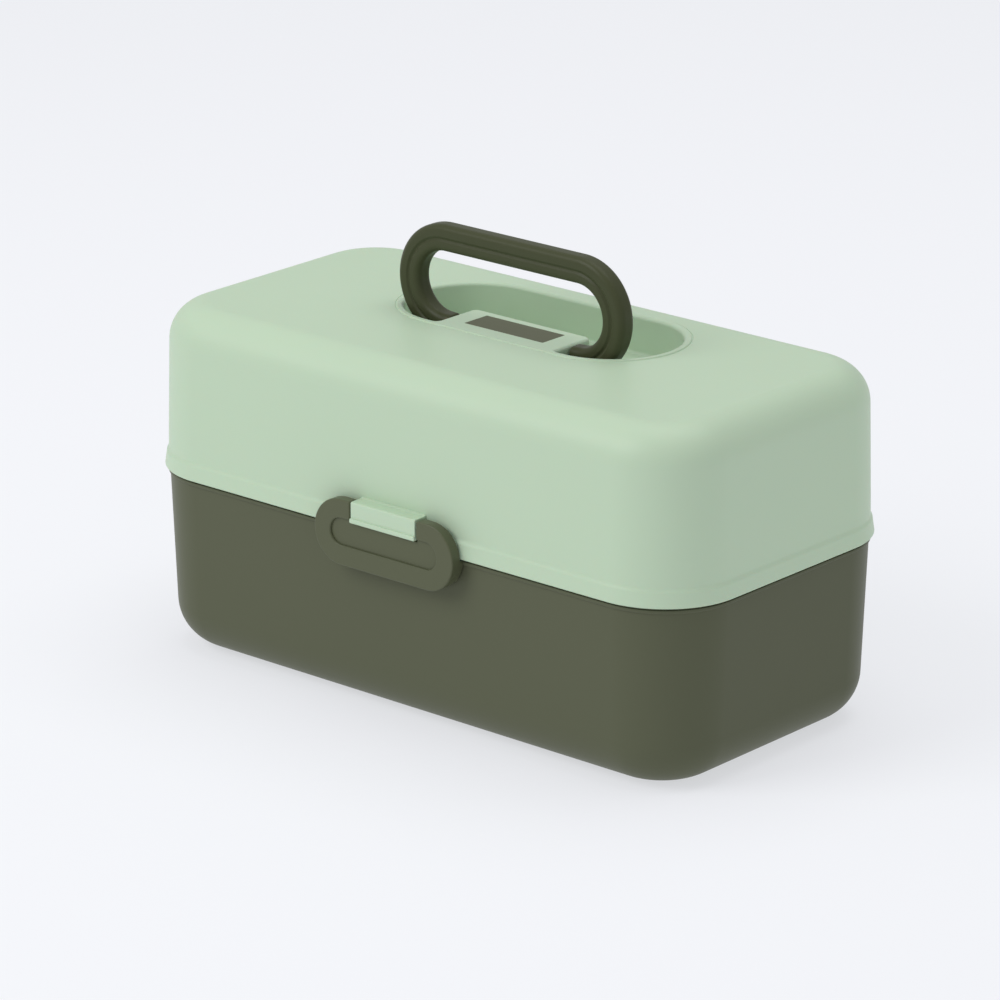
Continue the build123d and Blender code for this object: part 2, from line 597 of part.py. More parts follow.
def make_lid_rivet(side):
    """Rivet that holds the link to the lid."""
    head = inner_head(LINK_INNER_X)
    return rivet(side, LID_PIVOT, (head[0], LID_HALF_X - WALL), head, SMALL_HEAD_RADIUS)


# ---------------------------------------------------------------- all nodes
def all_nodes():
    """Every sub-part by name."""
    nodes = {
        "base_tub": make_base_tub(),
        "lid_shell": make_lid_shell(),
        "label_plate": make_label_plate(),
        "handle": make_handle(),
        "latch": make_latch(),
        "latch_pin": make_latch_pin(),
        "lower_tray": make_lower_tray(),
        "upper_tray": make_upper_tray(),
    }
    for name, side in SIDES.items():
        nodes[f"hinge_pin_{name}"] = hinge_pin(side)
        nodes[f"rear_arm_{name}"] = make_arm(side, REAR_PIVOT)
        nodes[f"front_arm_{name}"] = make_arm(side, FRONT_PIVOT)
        nodes[f"lid_link_{name}"] = make_lid_link(side)
        nodes[f"base_rivets_{name}"] = Compound(children=make_base_rivets(side))
        nodes[f"lower_tray_rivets_{name}"] = Compound(children=make_lower_tray_rivets(side))
        nodes[f"upper_tray_rivets_{name}"] = Compound(children=make_upper_tray_rivets(side))
        nodes[f"lid_rivet_{name}"] = make_lid_rivet(side)
    return nodes


os.makedirs("parts", exist_ok=True)
for node_name, shape in all_nodes().items():
    export_step(shape, f"parts/{node_name}.step")
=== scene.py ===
"""Sewing box with two cantilever trays: moulded skins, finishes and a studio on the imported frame.

Lengths in the classes are millimetres in the frame's axes: X along the box, -Y the latch side
and +Z up. Meshes are written in metres.
"""
import logging
import math
from dataclasses import dataclass
from enum import Enum
from typing import Sequence

import bmesh
import bpy
import numpy as np
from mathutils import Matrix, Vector
from mathutils.geometry import delaunay_2d_cdt


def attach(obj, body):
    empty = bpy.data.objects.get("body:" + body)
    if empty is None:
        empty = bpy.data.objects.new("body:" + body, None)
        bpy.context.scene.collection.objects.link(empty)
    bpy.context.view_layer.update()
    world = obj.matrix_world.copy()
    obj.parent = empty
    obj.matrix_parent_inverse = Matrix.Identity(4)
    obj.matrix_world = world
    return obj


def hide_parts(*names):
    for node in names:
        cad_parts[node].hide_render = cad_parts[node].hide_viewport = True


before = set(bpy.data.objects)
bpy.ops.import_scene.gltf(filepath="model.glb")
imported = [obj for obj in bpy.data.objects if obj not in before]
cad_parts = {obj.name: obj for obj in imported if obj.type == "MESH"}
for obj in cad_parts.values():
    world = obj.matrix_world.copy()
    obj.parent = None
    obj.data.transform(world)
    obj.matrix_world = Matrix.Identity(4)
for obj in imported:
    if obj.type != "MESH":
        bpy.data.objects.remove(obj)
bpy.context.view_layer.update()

MM = 0.001
MERGE_DISTANCE = 2e-7
ALL_TRIANGLES = 0
LOG = logging.getLogger("sewing_box")
SIDES = {"left": -1.0, "right": 1.0}

Array = np.ndarray
Pair = tuple[float, float]
Corner = tuple[float, float, float]


class View(Enum):
    """Frame axes that a shape's two flat coordinates and its height lie on."""

    PLAN = (0, 1, 2)
    FRONT = (0, 2, 1)
    SIDE = (1, 2, 0)


# ---------------------------------------------------------------- outlines and profiles
@dataclass(frozen=True)
class Outline:
    """Closed flat curve with its outward normals.

    Attributes:
        points: Positions along the curve, one row each, anticlockwise.
        normals: Unit normals at those positions, pointing out of the shape.
    """

    points: Array
    normals: Array

    @staticmethod
    def rounded(corners: Sequence[Corner], pitch: float = 8.0, turn_steps: int = 10) -> "Outline":
        """Curve through corners that are each rounded by an arc.

        A corner's arc touches both sides at radius * tan(turn / 2) from the corner. Along it the
        direction turns evenly, and the normal is the direction turned a quarter clockwise.

        Args:
            corners: (u, v, radius) of each corner, anticlockwise.
            pitch: Longest step along a straight side.
            turn_steps: Steps in a quarter turn.

        Returns:
            The outline, without doubled points.
        """
        places = np.array([corner[:2] for corner in corners], float)
        heading = np.roll(places, -1, 0) - places
        heading /= np.linalg.norm(heading, axis=1)[:, None]
        bends = []
        for index, (_, _, radius) in enumerate(corners):
            before, after = heading[index - 1], heading[index]
            turn = math.atan2(before[0] * after[1] - before[1] * after[0], before @ after)
            steps = max(2, round(turn_steps * abs(turn) / (math.pi / 2)))
            facing = math.atan2(-before[0], before[1]) + turn * np.linspace(0, 1, steps + 1)
            normals = np.stack([np.cos(facing), np.sin(facing)], -1)
            start = places[index] - before * radius * math.tan(abs(turn) / 2)
            bends.append((start + math.copysign(radius, turn) * (normals - normals[0]), normals))
        points, normals = [], []
        for (bend, bend_normals), (following, _) in zip(bends, bends[1:] + bends[:1]):
            gap = following[0] - bend[-1]
            count = int(np.linalg.norm(gap) // pitch)
            share = (np.arange(1, count + 1) / (count + 1))[:, None]
            points += [bend, bend[-1] + share * gap]
            normals += [bend_normals, np.repeat(bend_normals[-1:], count, 0)]
        path, outward = np.concatenate(points), np.concatenate(normals)
        apart = np.linalg.norm(path - np.roll(path, 1, 0), axis=1) > 1e-5
        return Outline(path[apart], outward[apart])

    @staticmethod
    def between(
        u_span: Pair, v_span: Pair, radius: float, pitch: float = 8.0, turn_steps: int = 10
    ) -> "Outline":
        """Rounded rectangle between two limits on each axis.

        Args:
            u_span: Low and high limit on the first axis.
            v_span: Low and high limit on the second axis.
            radius: Corner radius.
            pitch: Longest step along a straight side.
            turn_steps: Steps in a quarter turn.

        Returns:
            The outline.
        """
        (left, right), (low, high) = sorted(u_span), sorted(v_span)
        places = ((left, low), (right, low), (right, high), (left, high))
        return Outline.rounded([(u, v, radius) for u, v in places], pitch, turn_steps)

    @staticmethod
    def circle(radius: float, centre: Pair = (0.0, 0.0), steps: int = 48) -> "Outline":
        """Circle about a centre."""
        angle = 2 * math.pi * np.arange(steps) / steps
        normals = np.stack([np.cos(angle), np.sin(angle)], -1)
        return Outline(np.array(centre) + radius * normals, normals)

    @staticmethod
    def bar(start: Pair, end: Pair, width: float, steps: int = 20) -> "Outline":
        """Bar with round ends: a half circle about each end, joined by straight sides.

        Args:
            start: Centre of one round end.
            end: Centre of the other.
            width: The bar's width.
            steps: Steps in each half circle.

        Returns:
            The outline.
        """
        heading = math.atan2(end[1] - start[1], end[0] - start[0])
        first = np.array([heading - math.pi / 2, heading + math.pi / 2])
        angle = (first[:, None] + math.pi * np.linspace(0, 1, steps + 1)).ravel()
        normals = np.stack([np.cos(angle), np.sin(angle)], -1)
        centres = np.repeat(np.array([end, start], float), steps + 1, 0)
        return Outline(centres + width / 2 * normals, normals)


def arc(centre: Pair, radius: float, start: float, end: float, steps: int = 8) -> list[Pair]:
    """Points of an arc in a profile.

    Args:
        centre: (out, height) of the arc's centre.
        radius: Its radius.
        start: First angle in degrees, where 0 points out and 90 up.
        end: Last angle in degrees.
        steps: Number of steps.

    Returns:
        The points as (out, height) pairs.
    """
    angle = np.radians(np.linspace(start, end, steps + 1))
    return [(centre[0] + radius * math.cos(a), centre[1] + radius * math.sin(a)) for a in angle]


@dataclass(frozen=True)
class LeaningWall:
    """Drafted wall that leans in as it leaves a reference height.

    Attributes:
        face: How far out the wall's face lies at the reference height.
        height: The reference height.
        draft: Its lean in degrees.
    """

    face: float
    height: float
    draft: float

    def at(self, height: float) -> float:
        """How far out the face lies at a height."""
        return self.face - abs(height - self.height) * math.tan(math.radians(self.draft))

    def fillet(self, flat: float, radius: float, steps: int) -> list[Pair]:
        """Arc that touches the wall and a flat face above or below it.

        The centre lies one radius from the flat face and one radius, square to the wall, behind
        the wall's face.

        Args:
            flat: Height of the flat face.
            radius: Fillet radius.
            steps: Number of steps.

        Returns:
            (out, height) pairs from the wall to the flat face.
        """
        rising = math.copysign(1.0, flat - self.height)
        centre_height = flat - rising * radius
        centre = (self.at(centre_height) - radius / math.cos(math.radians(self.draft)), centre_height)
        return arc(centre, radius, rising * self.draft, rising * 90, steps)


def enclosed(places: Array, starts: Array, ends: Array) -> Array:
    """Whether places lie inside a boundary and outside its holes.

    A ray from an enclosed place along the first axis crosses the edges an odd number of times.

    Args:
        places: Flat places, one row each.
        starts: Start of every edge.
        ends: End of every edge.

    Returns:
        One truth value for each place.
    """
    u, v = places[:, :1], places[:, 1:]
    spans = (starts[:, 1] > v) != (ends[:, 1] > v)
    rise = np.where(ends[:, 1] == starts[:, 1], 1.0, ends[:, 1] - starts[:, 1])
    meets = starts[:, 0] + (v - starts[:, 1]) * (ends[:, 0] - starts[:, 0]) / rise
    return (spans & (u < meets)).sum(1) % 2 == 1


# ---------------------------------------------------------------- closed skins
class Skin:
    """Closed surface built from swept grids and flat caps that share their edge points."""

    def __init__(self, view: View = View.PLAN) -> None:
        """Starts an empty skin whose shapes are given in one view."""
        self.axes = list(view.value)
        self.points: list[Array] = []
        self.faces: list[Array] = []
        self.count = 0

    def add_points(self, points: Array) -> Array:
        """Stores (u, v, height) rows and returns their indices."""
        placed = np.empty_like(points)
        placed[:, self.axes] = points
        self.points.append(placed)
        self.count += len(points)
        return np.arange(self.count - len(points), self.count)

    def add_grid(self, grid: Array) -> Array:
        """Adds a surface given as rows of points whose last column joins the first.

        Args:
            grid: Array of rows x columns x 3, in (u, v, height).

        Returns:
            Indices of the grid's points, rows x columns.
        """
        index = self.add_points(grid.reshape(-1, 3)).reshape(grid.shape[:2])
        wide = np.hstack([index, index[:, :1]])
        quads = np.stack([wide[:-1, :-1], wide[:-1, 1:], wide[1:, 1:], wide[1:, :-1]], -1)
        self.faces.append(quads.reshape(-1, 4))
        return index

    def sweep(self, outline: Outline, profile: Sequence[Pair]) -> Array:
        """Carries a profile round an outline.

        The point for a profile entry (out, height) is the outline's point moved out along its
        normal by out, at that height.

        Args:
            outline: The curve to follow.
            profile: (out, height) pairs from one open edge to the other.

        Returns:
            Indices, one row for each profile entry.
        """
        out, height = np.array(profile, float).T
        flat = outline.points[None] + out[:, None, None] * outline.normals[None]
        rise = np.broadcast_to(height[:, None, None], flat.shape[:2] + (1,))
        return self.add_grid(np.concatenate([flat, rise], -1))

    def cap(self, *loops: Array) -> None:
        """Fills the flat area between closed loops of points already in the skin.

        Args:
            loops: Index rows: the outside, and any holes in it.
        """
        order = np.concatenate(loops)
        flat = np.concatenate(self.points)[order][:, self.axes[:2]]
        starts = np.cumsum([0] + [len(loop) for loop in loops])
        rings = [start + np.arange(len(loop)) for start, loop in zip(starts, loops)]
        edges = np.concatenate([np.stack([ring, np.roll(ring, -1)], -1) for ring in rings])
        made = delaunay_2d_cdt([Vector(row) for row in flat], edges.tolist(), [], ALL_TRIANGLES, 1e-7)
        source = np.array([first[0] for first in made[3]])
        triangles = source[np.array(made[2])]
        kept = enclosed(flat[triangles].mean(1), flat[edges[:, 0]], flat[edges[:, 1]])
        self.faces.append(order[triangles[kept]])

    def fan(self, loop: Array) -> None:
        """Closes a loop with triangles to its middle."""
        everything = np.concatenate(self.points)
        middle = everything[loop].mean(0)[self.axes]
        centre = np.repeat(self.add_points(middle[None]), len(loop))
        self.faces.append(np.stack([loop, np.roll(loop, -1), centre], -1))

    def pad(self, outline: Outline, span: Pair, edge: float = 0.5, holes: Sequence[Outline] = ()) -> "Skin":
        """Adds a block with an outline, its two flat faces' edges rounded.

        The profile is a quarter circle at each end of a straight side, and each hole is straight
        with a small countersink.

        Args:
            outline: The block's outline.
            span: Its two flat faces' heights.
            edge: Edge radius, smaller than the outline's tightest corner.
            holes: Outlines of the holes that run through it.

        Returns:
            This skin.
        """
        low, high = sorted(span)
        side = arc((-edge, low + edge), edge, -90, 0, 5) + arc((-edge, high - edge), edge, 0, 90, 5)
        body = self.sweep(outline, side)
        sink = 0.25
        bore = [(sink, low), (0, low + sink), (0, high - sink), (sink, high)]
        rings = [self.sweep(hole, bore) for hole in holes]
        self.cap(body[0], *[ring[0] for ring in rings])
        self.cap(body[-1], *[ring[-1] for ring in rings])
        return self

    def turned(self, centre: Pair, profile: Sequence[Pair], steps: int = 36) -> "Skin":
        """Turns a profile of (radius, height) about an axis that both its ends lie on.

        Args:
            centre: Where the axis crosses the view.
            profile: (radius, height) pairs.
            steps: Steps round the axis.

        Returns:
            This skin.
        """
        spokes = Outline.circle(1.0, steps=steps)
        self.sweep(Outline(np.zeros((steps, 2)) + centre, spokes.normals), profile)
        return self


def skin_mesh(name: str, skins: Sequence[Skin]) -> bpy.types.Mesh:
    """Joins skins into one mesh with closed poles and outward normals.

    Args:
        name: The mesh's name.
        skins: Closed skins.

    Returns:
        The mesh, in metres.
    """
    points = np.concatenate([np.concatenate(skin.points) for skin in skins]) * MM
    starts = np.cumsum([0] + [skin.count for skin in skins])
    blocks = [block + start for start, skin in zip(starts, skins) for block in skin.faces]
    faces = [row for block in blocks for row in block.tolist()]
    mesh = bpy.data.meshes.new(name)
    mesh.from_pydata(points.tolist(), [], faces)
    bm = bmesh.new()
    bm.from_mesh(mesh)
    bmesh.ops.remove_doubles(bm, verts=bm.verts, dist=MERGE_DISTANCE)
    bmesh.ops.dissolve_degenerate(bm, edges=bm.edges, dist=MERGE_DISTANCE)
    bmesh.ops.recalc_face_normals(bm, faces=bm.faces)
    bm.to_mesh(mesh)
    bm.free()
    return mesh


def carve(piece: bpy.types.Object, cutters: Sequence[Skin]) -> None:
    """Cuts skins out of a piece and joins the piece's own overlapping skins.

    Args:
        piece: The piece to cut.
        cutters: Closed skins to remove.
    """
    tool = bpy.data.objects.new("cutter", skin_mesh("cutter", cutters))
    bpy.context.scene.collection.objects.link(tool)
    cut = piece.modifiers.new("cut", "BOOLEAN")
    cut.object = tool
    cut.solver = "EXACT"
    cut.use_self = True
    graph = bpy.context.evaluated_depsgraph_get()
    carved = bpy.data.meshes.new_from_object(piece.evaluated_get(graph))
    whole = piece.data
    piece.modifiers.clear()
    piece.data = carved
    carved.name = piece.name
    bpy.data.meshes.remove(whole)
    bpy.data.meshes.remove(tool.data)


@dataclass(frozen=True)
class Seat:
    """Where a piece belongs in the frame.

    Attributes:
        body: Body that it rides on.
        slot: Name of the frame's material slot that it matches; not used.
        nodes: Frame nodes that it stands for.
    """

    body: str
    slot: str
    nodes: tuple[str, ...]


# ---------------------------------------------------------------- finishes
SCATTER_DEPTH = 0.002
UNEVEN_GLOSS = 0.04
DRIFT_CELLS, GLOSS_CELLS, GRAIN_CELLS = 9.0, 40.0, 2200.0


@dataclass(frozen=True)
class Finish:
    """Satin surface coloured in the mass, with the fine grain of a moulding tool.

    Attributes:
        name: Material name.
        colour: Linear base colour.
        roughness: Mean roughness.
        grain: Height of the fine texture, in metres.
        drift: Share by which the colour wanders over a hand's width.
        metallic: 1 for bare metal.
        scatter: Share of the light that scatters below the surface.
        mirror: How strongly the surface mirrors, 0.5 for polished plastic.
        glow: Strength of its own light, for a studio surface.
    """

    name: str
    colour: tuple[float, float, float]
    roughness: float = 0.42
    grain: float = 1.2e-5
    drift: float = 0.02
    metallic: float = 0.0
    scatter: float = 0.0
    mirror: float = 0.25
    glow: float = 0.0

    def material(self) -> bpy.types.Material:
        """Returns the node material, made on its first use."""
        made = bpy.data.materials.get(self.name)
        return made if made else self.build()

    def build(self) -> bpy.types.Material:
        """Writes the nodes: wandering colour, uneven gloss and a fine grain."""
        material = bpy.data.materials.new(self.name)
        material.use_nodes = True
        tree = material.node_tree
        shader = tree.nodes["Principled BSDF"]
        shader.inputs["Metallic"].default_value = self.metallic
        shader.inputs["Subsurface Weight"].default_value = self.scatter
        shader.inputs["Subsurface Scale"].default_value = SCATTER_DEPTH
        shader.inputs["Specular IOR Level"].default_value = self.mirror
        shader.inputs["Emission Color"].default_value = (*self.colour, 1)
        shader.inputs["Emission Strength"].default_value = self.glow
        shade = tree.nodes.new("ShaderNodeMix")
        shade.data_type = "RGBA"
        shade.inputs["A"].default_value = (*[c * (1 - self.drift) for c in self.colour], 1)
        shade.inputs["B"].default_value = (*[c * (1 + self.drift) for c in self.colour], 1)
        tree.links.new(self.noise(tree, DRIFT_CELLS, 2.0), shade.inputs["Factor"])
        tree.links.new(shade.outputs["Result"], shader.inputs["Base Color"])
        gloss = tree.nodes.new("ShaderNodeMapRange")
        gloss.inputs["To Min"].default_value = self.roughness - UNEVEN_GLOSS
        gloss.inputs["To Max"].default_value = self.roughness + UNEVEN_GLOSS
        tree.links.new(self.noise(tree, GLOSS_CELLS, 3.0), gloss.inputs["Value"])
        tree.links.new(gloss.outputs["Result"], shader.inputs["Roughness"])
        bump = tree.nodes.new("ShaderNodeBump")
        bump.inputs["Distance"].default_value = self.grain
        tree.links.new(self.noise(tree, GRAIN_CELLS, 2.0), bump.inputs["Height"])
        tree.links.new(bump.outputs["Normal"], shader.inputs["Normal"])
        return material

    @staticmethod
    def noise(tree: bpy.types.NodeTree, scale: float, detail: float) -> bpy.types.NodeSocket:
        """Adds a noise texture on object coordinates and returns its value.

        Args:
            tree: Node tree that takes it.
            scale: Cells in a metre.
            detail: Octaves.

        Returns:
            The value's socket.
        """
        place = tree.nodes.new("ShaderNodeTexCoord").outputs["Object"]
        texture = tree.nodes.new("ShaderNodeTexNoise")
        texture.inputs["Scale"].default_value = scale
        texture.inputs["Detail"].default_value = detail
        tree.links.new(place, texture.inputs["Vector"])
        return texture.outputs["Fac"]


SAGE = Finish("sage_plastic", (0.52, 0.66, 0.485), roughness=0.42, scatter=0.05, mirror=0.3)
TRAY_SAGE = Finish("pale_sage_plastic", (0.58, 0.70, 0.54), roughness=0.45, scatter=0.05, mirror=0.3)
OLIVE = Finish("olive_plastic", (0.106, 0.115, 0.070), roughness=0.42, mirror=0.12)
ARM_OLIVE = Finish("olive_arm_plastic", (0.10, 0.11, 0.06), roughness=0.36, mirror=0.15)
TRIM_OLIVE = Finish("dark_olive_plastic", (0.060, 0.067, 0.032), roughness=0.36, mirror=0.16)
LATCH_OLIVE = Finish("latch_olive_plastic", (0.098, 0.108, 0.060), roughness=0.36, mirror=0.22)
LABEL_OLIVE = Finish("label_plate_olive", (0.115, 0.124, 0.072), roughness=0.5, grain=2.5e-5)
RIVET_SAGE = Finish("smooth_sage_plastic", (0.58, 0.70, 0.54), roughness=0.33, mirror=0.4)
STEEL = Finish("drawn_steel", (0.62, 0.62, 0.61), roughness=0.28, grain=4e-6, metallic=1.0, mirror=0.5)


def make_piece(
    name: str,
    skins: Sequence[Skin],
    seat: Seat,
    finish: Finish,
    cutters: Sequence[Skin] = (),
    crease: float = 32.0,
) -> None:
    """Turns skins into one dressed piece that rides on its body.

    Args:
        name: The piece's name.
        skins: Its closed skins.
        seat: Its place in the frame.
        finish: Its finish.
        cutters: Skins to cut out of it.
        crease: Edges that turn by more degrees than this stay crisp.
    """
    piece = bpy.data.objects.new(name, skin_mesh(name, skins))
    bpy.context.scene.collection.objects.link(piece)
    if cutters:
        carve(piece, cutters)
    piece.data.shade_smooth()
    piece.data.set_sharp_from_angle(angle=math.radians(crease))
    piece.data.materials.clear()
    piece.data.materials.append(finish.material())
    shading = piece.modifiers.new("even_shading", "WEIGHTED_NORMAL")
    shading.keep_sharp = True
    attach(piece, seat.body)
    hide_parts(*seat.nodes)
    LOG.info("%s: %d faces, rides on %s", name, len(piece.data.polygons), seat.body)


# ---------------------------------------------------------------- shared sizes
@dataclass(frozen=True)
class Shell:
    """Outside sizes that the lid and the tub share.

    Attributes:
        half_x: Half length over the rim band.
        half_y: Half depth over the rim band.
        corner: Plan radius of the rim band's corners.
        parting: Height of the rim band's lower edge.
        wall: Wall thickness of both mouldings.
    """

    half_x: float = 165.0
    half_y: float = 83.8
    corner: float = 39.6
    parting: float = 88.8
    wall: float = 2.2

    def outline(self) -> Outline:
        """Plan outline of the rim band; everything else is swept in from it."""
        x_span, y_span = (-self.half_x, self.half_x), (-self.half_y, self.half_y)
        return Outline.between(x_span, y_span, self.corner, pitch=9.0, turn_steps=24)


@dataclass(frozen=True)
class Hinge:
    """Axis and sizes of the two lid hinges."""

    y: float = 88.2
    z: float = 88.8
    centre_x: float = 85.0
    knuckle: float = 3.8
    lid_length: float = 22.0
    base_length: float = 9.0
    gap: float = 0.4
    pin: float = 1.6
    running_gap: float = 0.06

    def base_spans(self, side: float) -> list[Pair]:
        """X spans of the two base knuckles of one hinge."""
        inner = self.lid_length / 2 + self.gap
        outer = inner + self.base_length
        centre = side * self.centre_x
        return [(centre - outer, centre - inner), (centre + inner, centre + outer)]

    def lid_span(self, side: float) -> Pair:
        """X span of the lid knuckle of one hinge."""
        return (side * self.centre_x - self.lid_length / 2, side * self.centre_x + self.lid_length / 2)

    @property
    def bend(self) -> float:
        """Corner radius that makes a leaf's end all but round."""
        return 0.98 * self.knuckle

    def knuckle_skin(self, leaf: Sequence[Corner], x_span: Pair, bore: float) -> Skin:
        """Knuckle with its leaf, drilled for the pin.

        Args:
            leaf: Corners of its outline seen from the side, anticlockwise.
            x_span: Where it lies along the hinge.
            bore: Radius of its bore.

        Returns:
            The knuckle's skin.
        """
        hole = Outline.circle(bore, (self.y, self.z), 28)
        return Skin(View.SIDE).pad(Outline.rounded(leaf, pitch=4.0, turn_steps=9), x_span, 0.4, [hole])


@dataclass(frozen=True)
class Linkage:
    """Pivots and layers of the tray linkage with the lid shut."""

    reach: float = 70.0
    angle: float = 12.0
    rear: Pair = (50.0, 88.0)
    front: Pair = (20.0, 76.0)
    pivot: float = 2.0
    bore: float = 2.06
    arm_x: Pair = (153.8, 156.8)
    arm_width: float = 10.0
    link_x: Pair = (157.2, 159.2)
    link_width: float = 8.0
    head: float = 1.1
    head_radius: float = 3.4
    gap: float = 0.1

    def along(self, start: Pair, distance: float) -> Pair:
        """Point at a distance from a pivot in the shut arms' direction."""
        turn = math.radians(self.angle)
        return (start[0] - distance * math.cos(turn), start[1] + distance * math.sin(turn))

    def lower_pivots(self) -> list[Pair]:
        """Rear and front pivot of the lower tray, half way along the arms."""
        return [self.along(start, self.reach / 2) for start in (self.rear, self.front)]

    def upper_pivots(self) -> list[Pair]:
        """Rear and front pivot of the upper tray, at the arms' ends."""
        return [self.along(start, self.reach) for start in (self.rear, self.front)]


SHELL = Shell()
HINGE = Hinge()
LINKAGE = Linkage()
LID_PIVOT = LINKAGE.along((HINGE.y, HINGE.z), LINKAGE.reach)
RIM_SHARE, RIM_BREAK = 0.35, 0.1


def boss(centre: Pair, face: float, root: float, radius: float, bore: float) -> Skin:
    """Round boss along X with a blind bore in its face.

    Args:
        centre: (y, z) of its axis.
        face: X of its open face.
        root: X of its buried end.
        radius: Its radius.
        bore: Radius of its bore.

    Returns:
        The boss's skin.
    """
    inward = math.copysign(1.0, root - face)
    edge = 0.4
    return Skin(View.SIDE).turned(centre, [
        (0, root), (radius, root), (radius, face + inward * edge), (radius - edge, face),
        (bore + edge / 2, face), (bore, face + inward * edge / 2), (bore, root - inward * edge),
        (0, root - inward * edge),
    ])


def rod(centre: Pair, x_span: Pair, radius: float, edge: float = 0.4) -> Skin:
    """Round pin along X with broken edges.

    Args:
        centre: (y, z) of its axis.
        x_span: X of its two ends.
        radius: Its radius.
        edge: Size of the broken edge.

    Returns:
        The pin's skin.
    """
    start, end = sorted(x_span)
    profile = [(0, start)] + arc((radius - edge, start + edge), edge, -90, 0, 4)
    profile += arc((radius - edge, end - edge), edge, 0, 90, 4) + [(0, end)]
    return Skin(View.SIDE).turned(centre, profile)


def rivet(centre: Pair, side: float, shank: Pair, head: Pair, radius: float) -> Skin:
    """Rivet along X with a crowned head.

    The head's crown is a quarter ellipse from its rim to its middle.

    Args:
        centre: (y, z) of its axis.
        side: -1 for the left end of the box and 1 for the right.
        shank: X span of the shank.
        head: X span of the head, flat face first.
        radius: Radius of the head.

    Returns:
        The rivet's skin.
    """
    flat, crown = head
    tip = shank[0] if abs(shank[0] - flat) > abs(shank[1] - flat) else shank[1]
    turn = np.radians(np.linspace(0, 90, 8))
    rim = flat + RIM_SHARE * (crown - flat)
    dome = [(radius * math.cos(a), rim + (crown - rim) * math.sin(a)) for a in turn]
    profile = [(0, tip), (LINKAGE.pivot, tip), (LINKAGE.pivot, flat), (radius - RIM_BREAK, flat), *dome]
    return Skin(View.SIDE).turned(centre, [(r, side * x) for r, x in profile], 32)


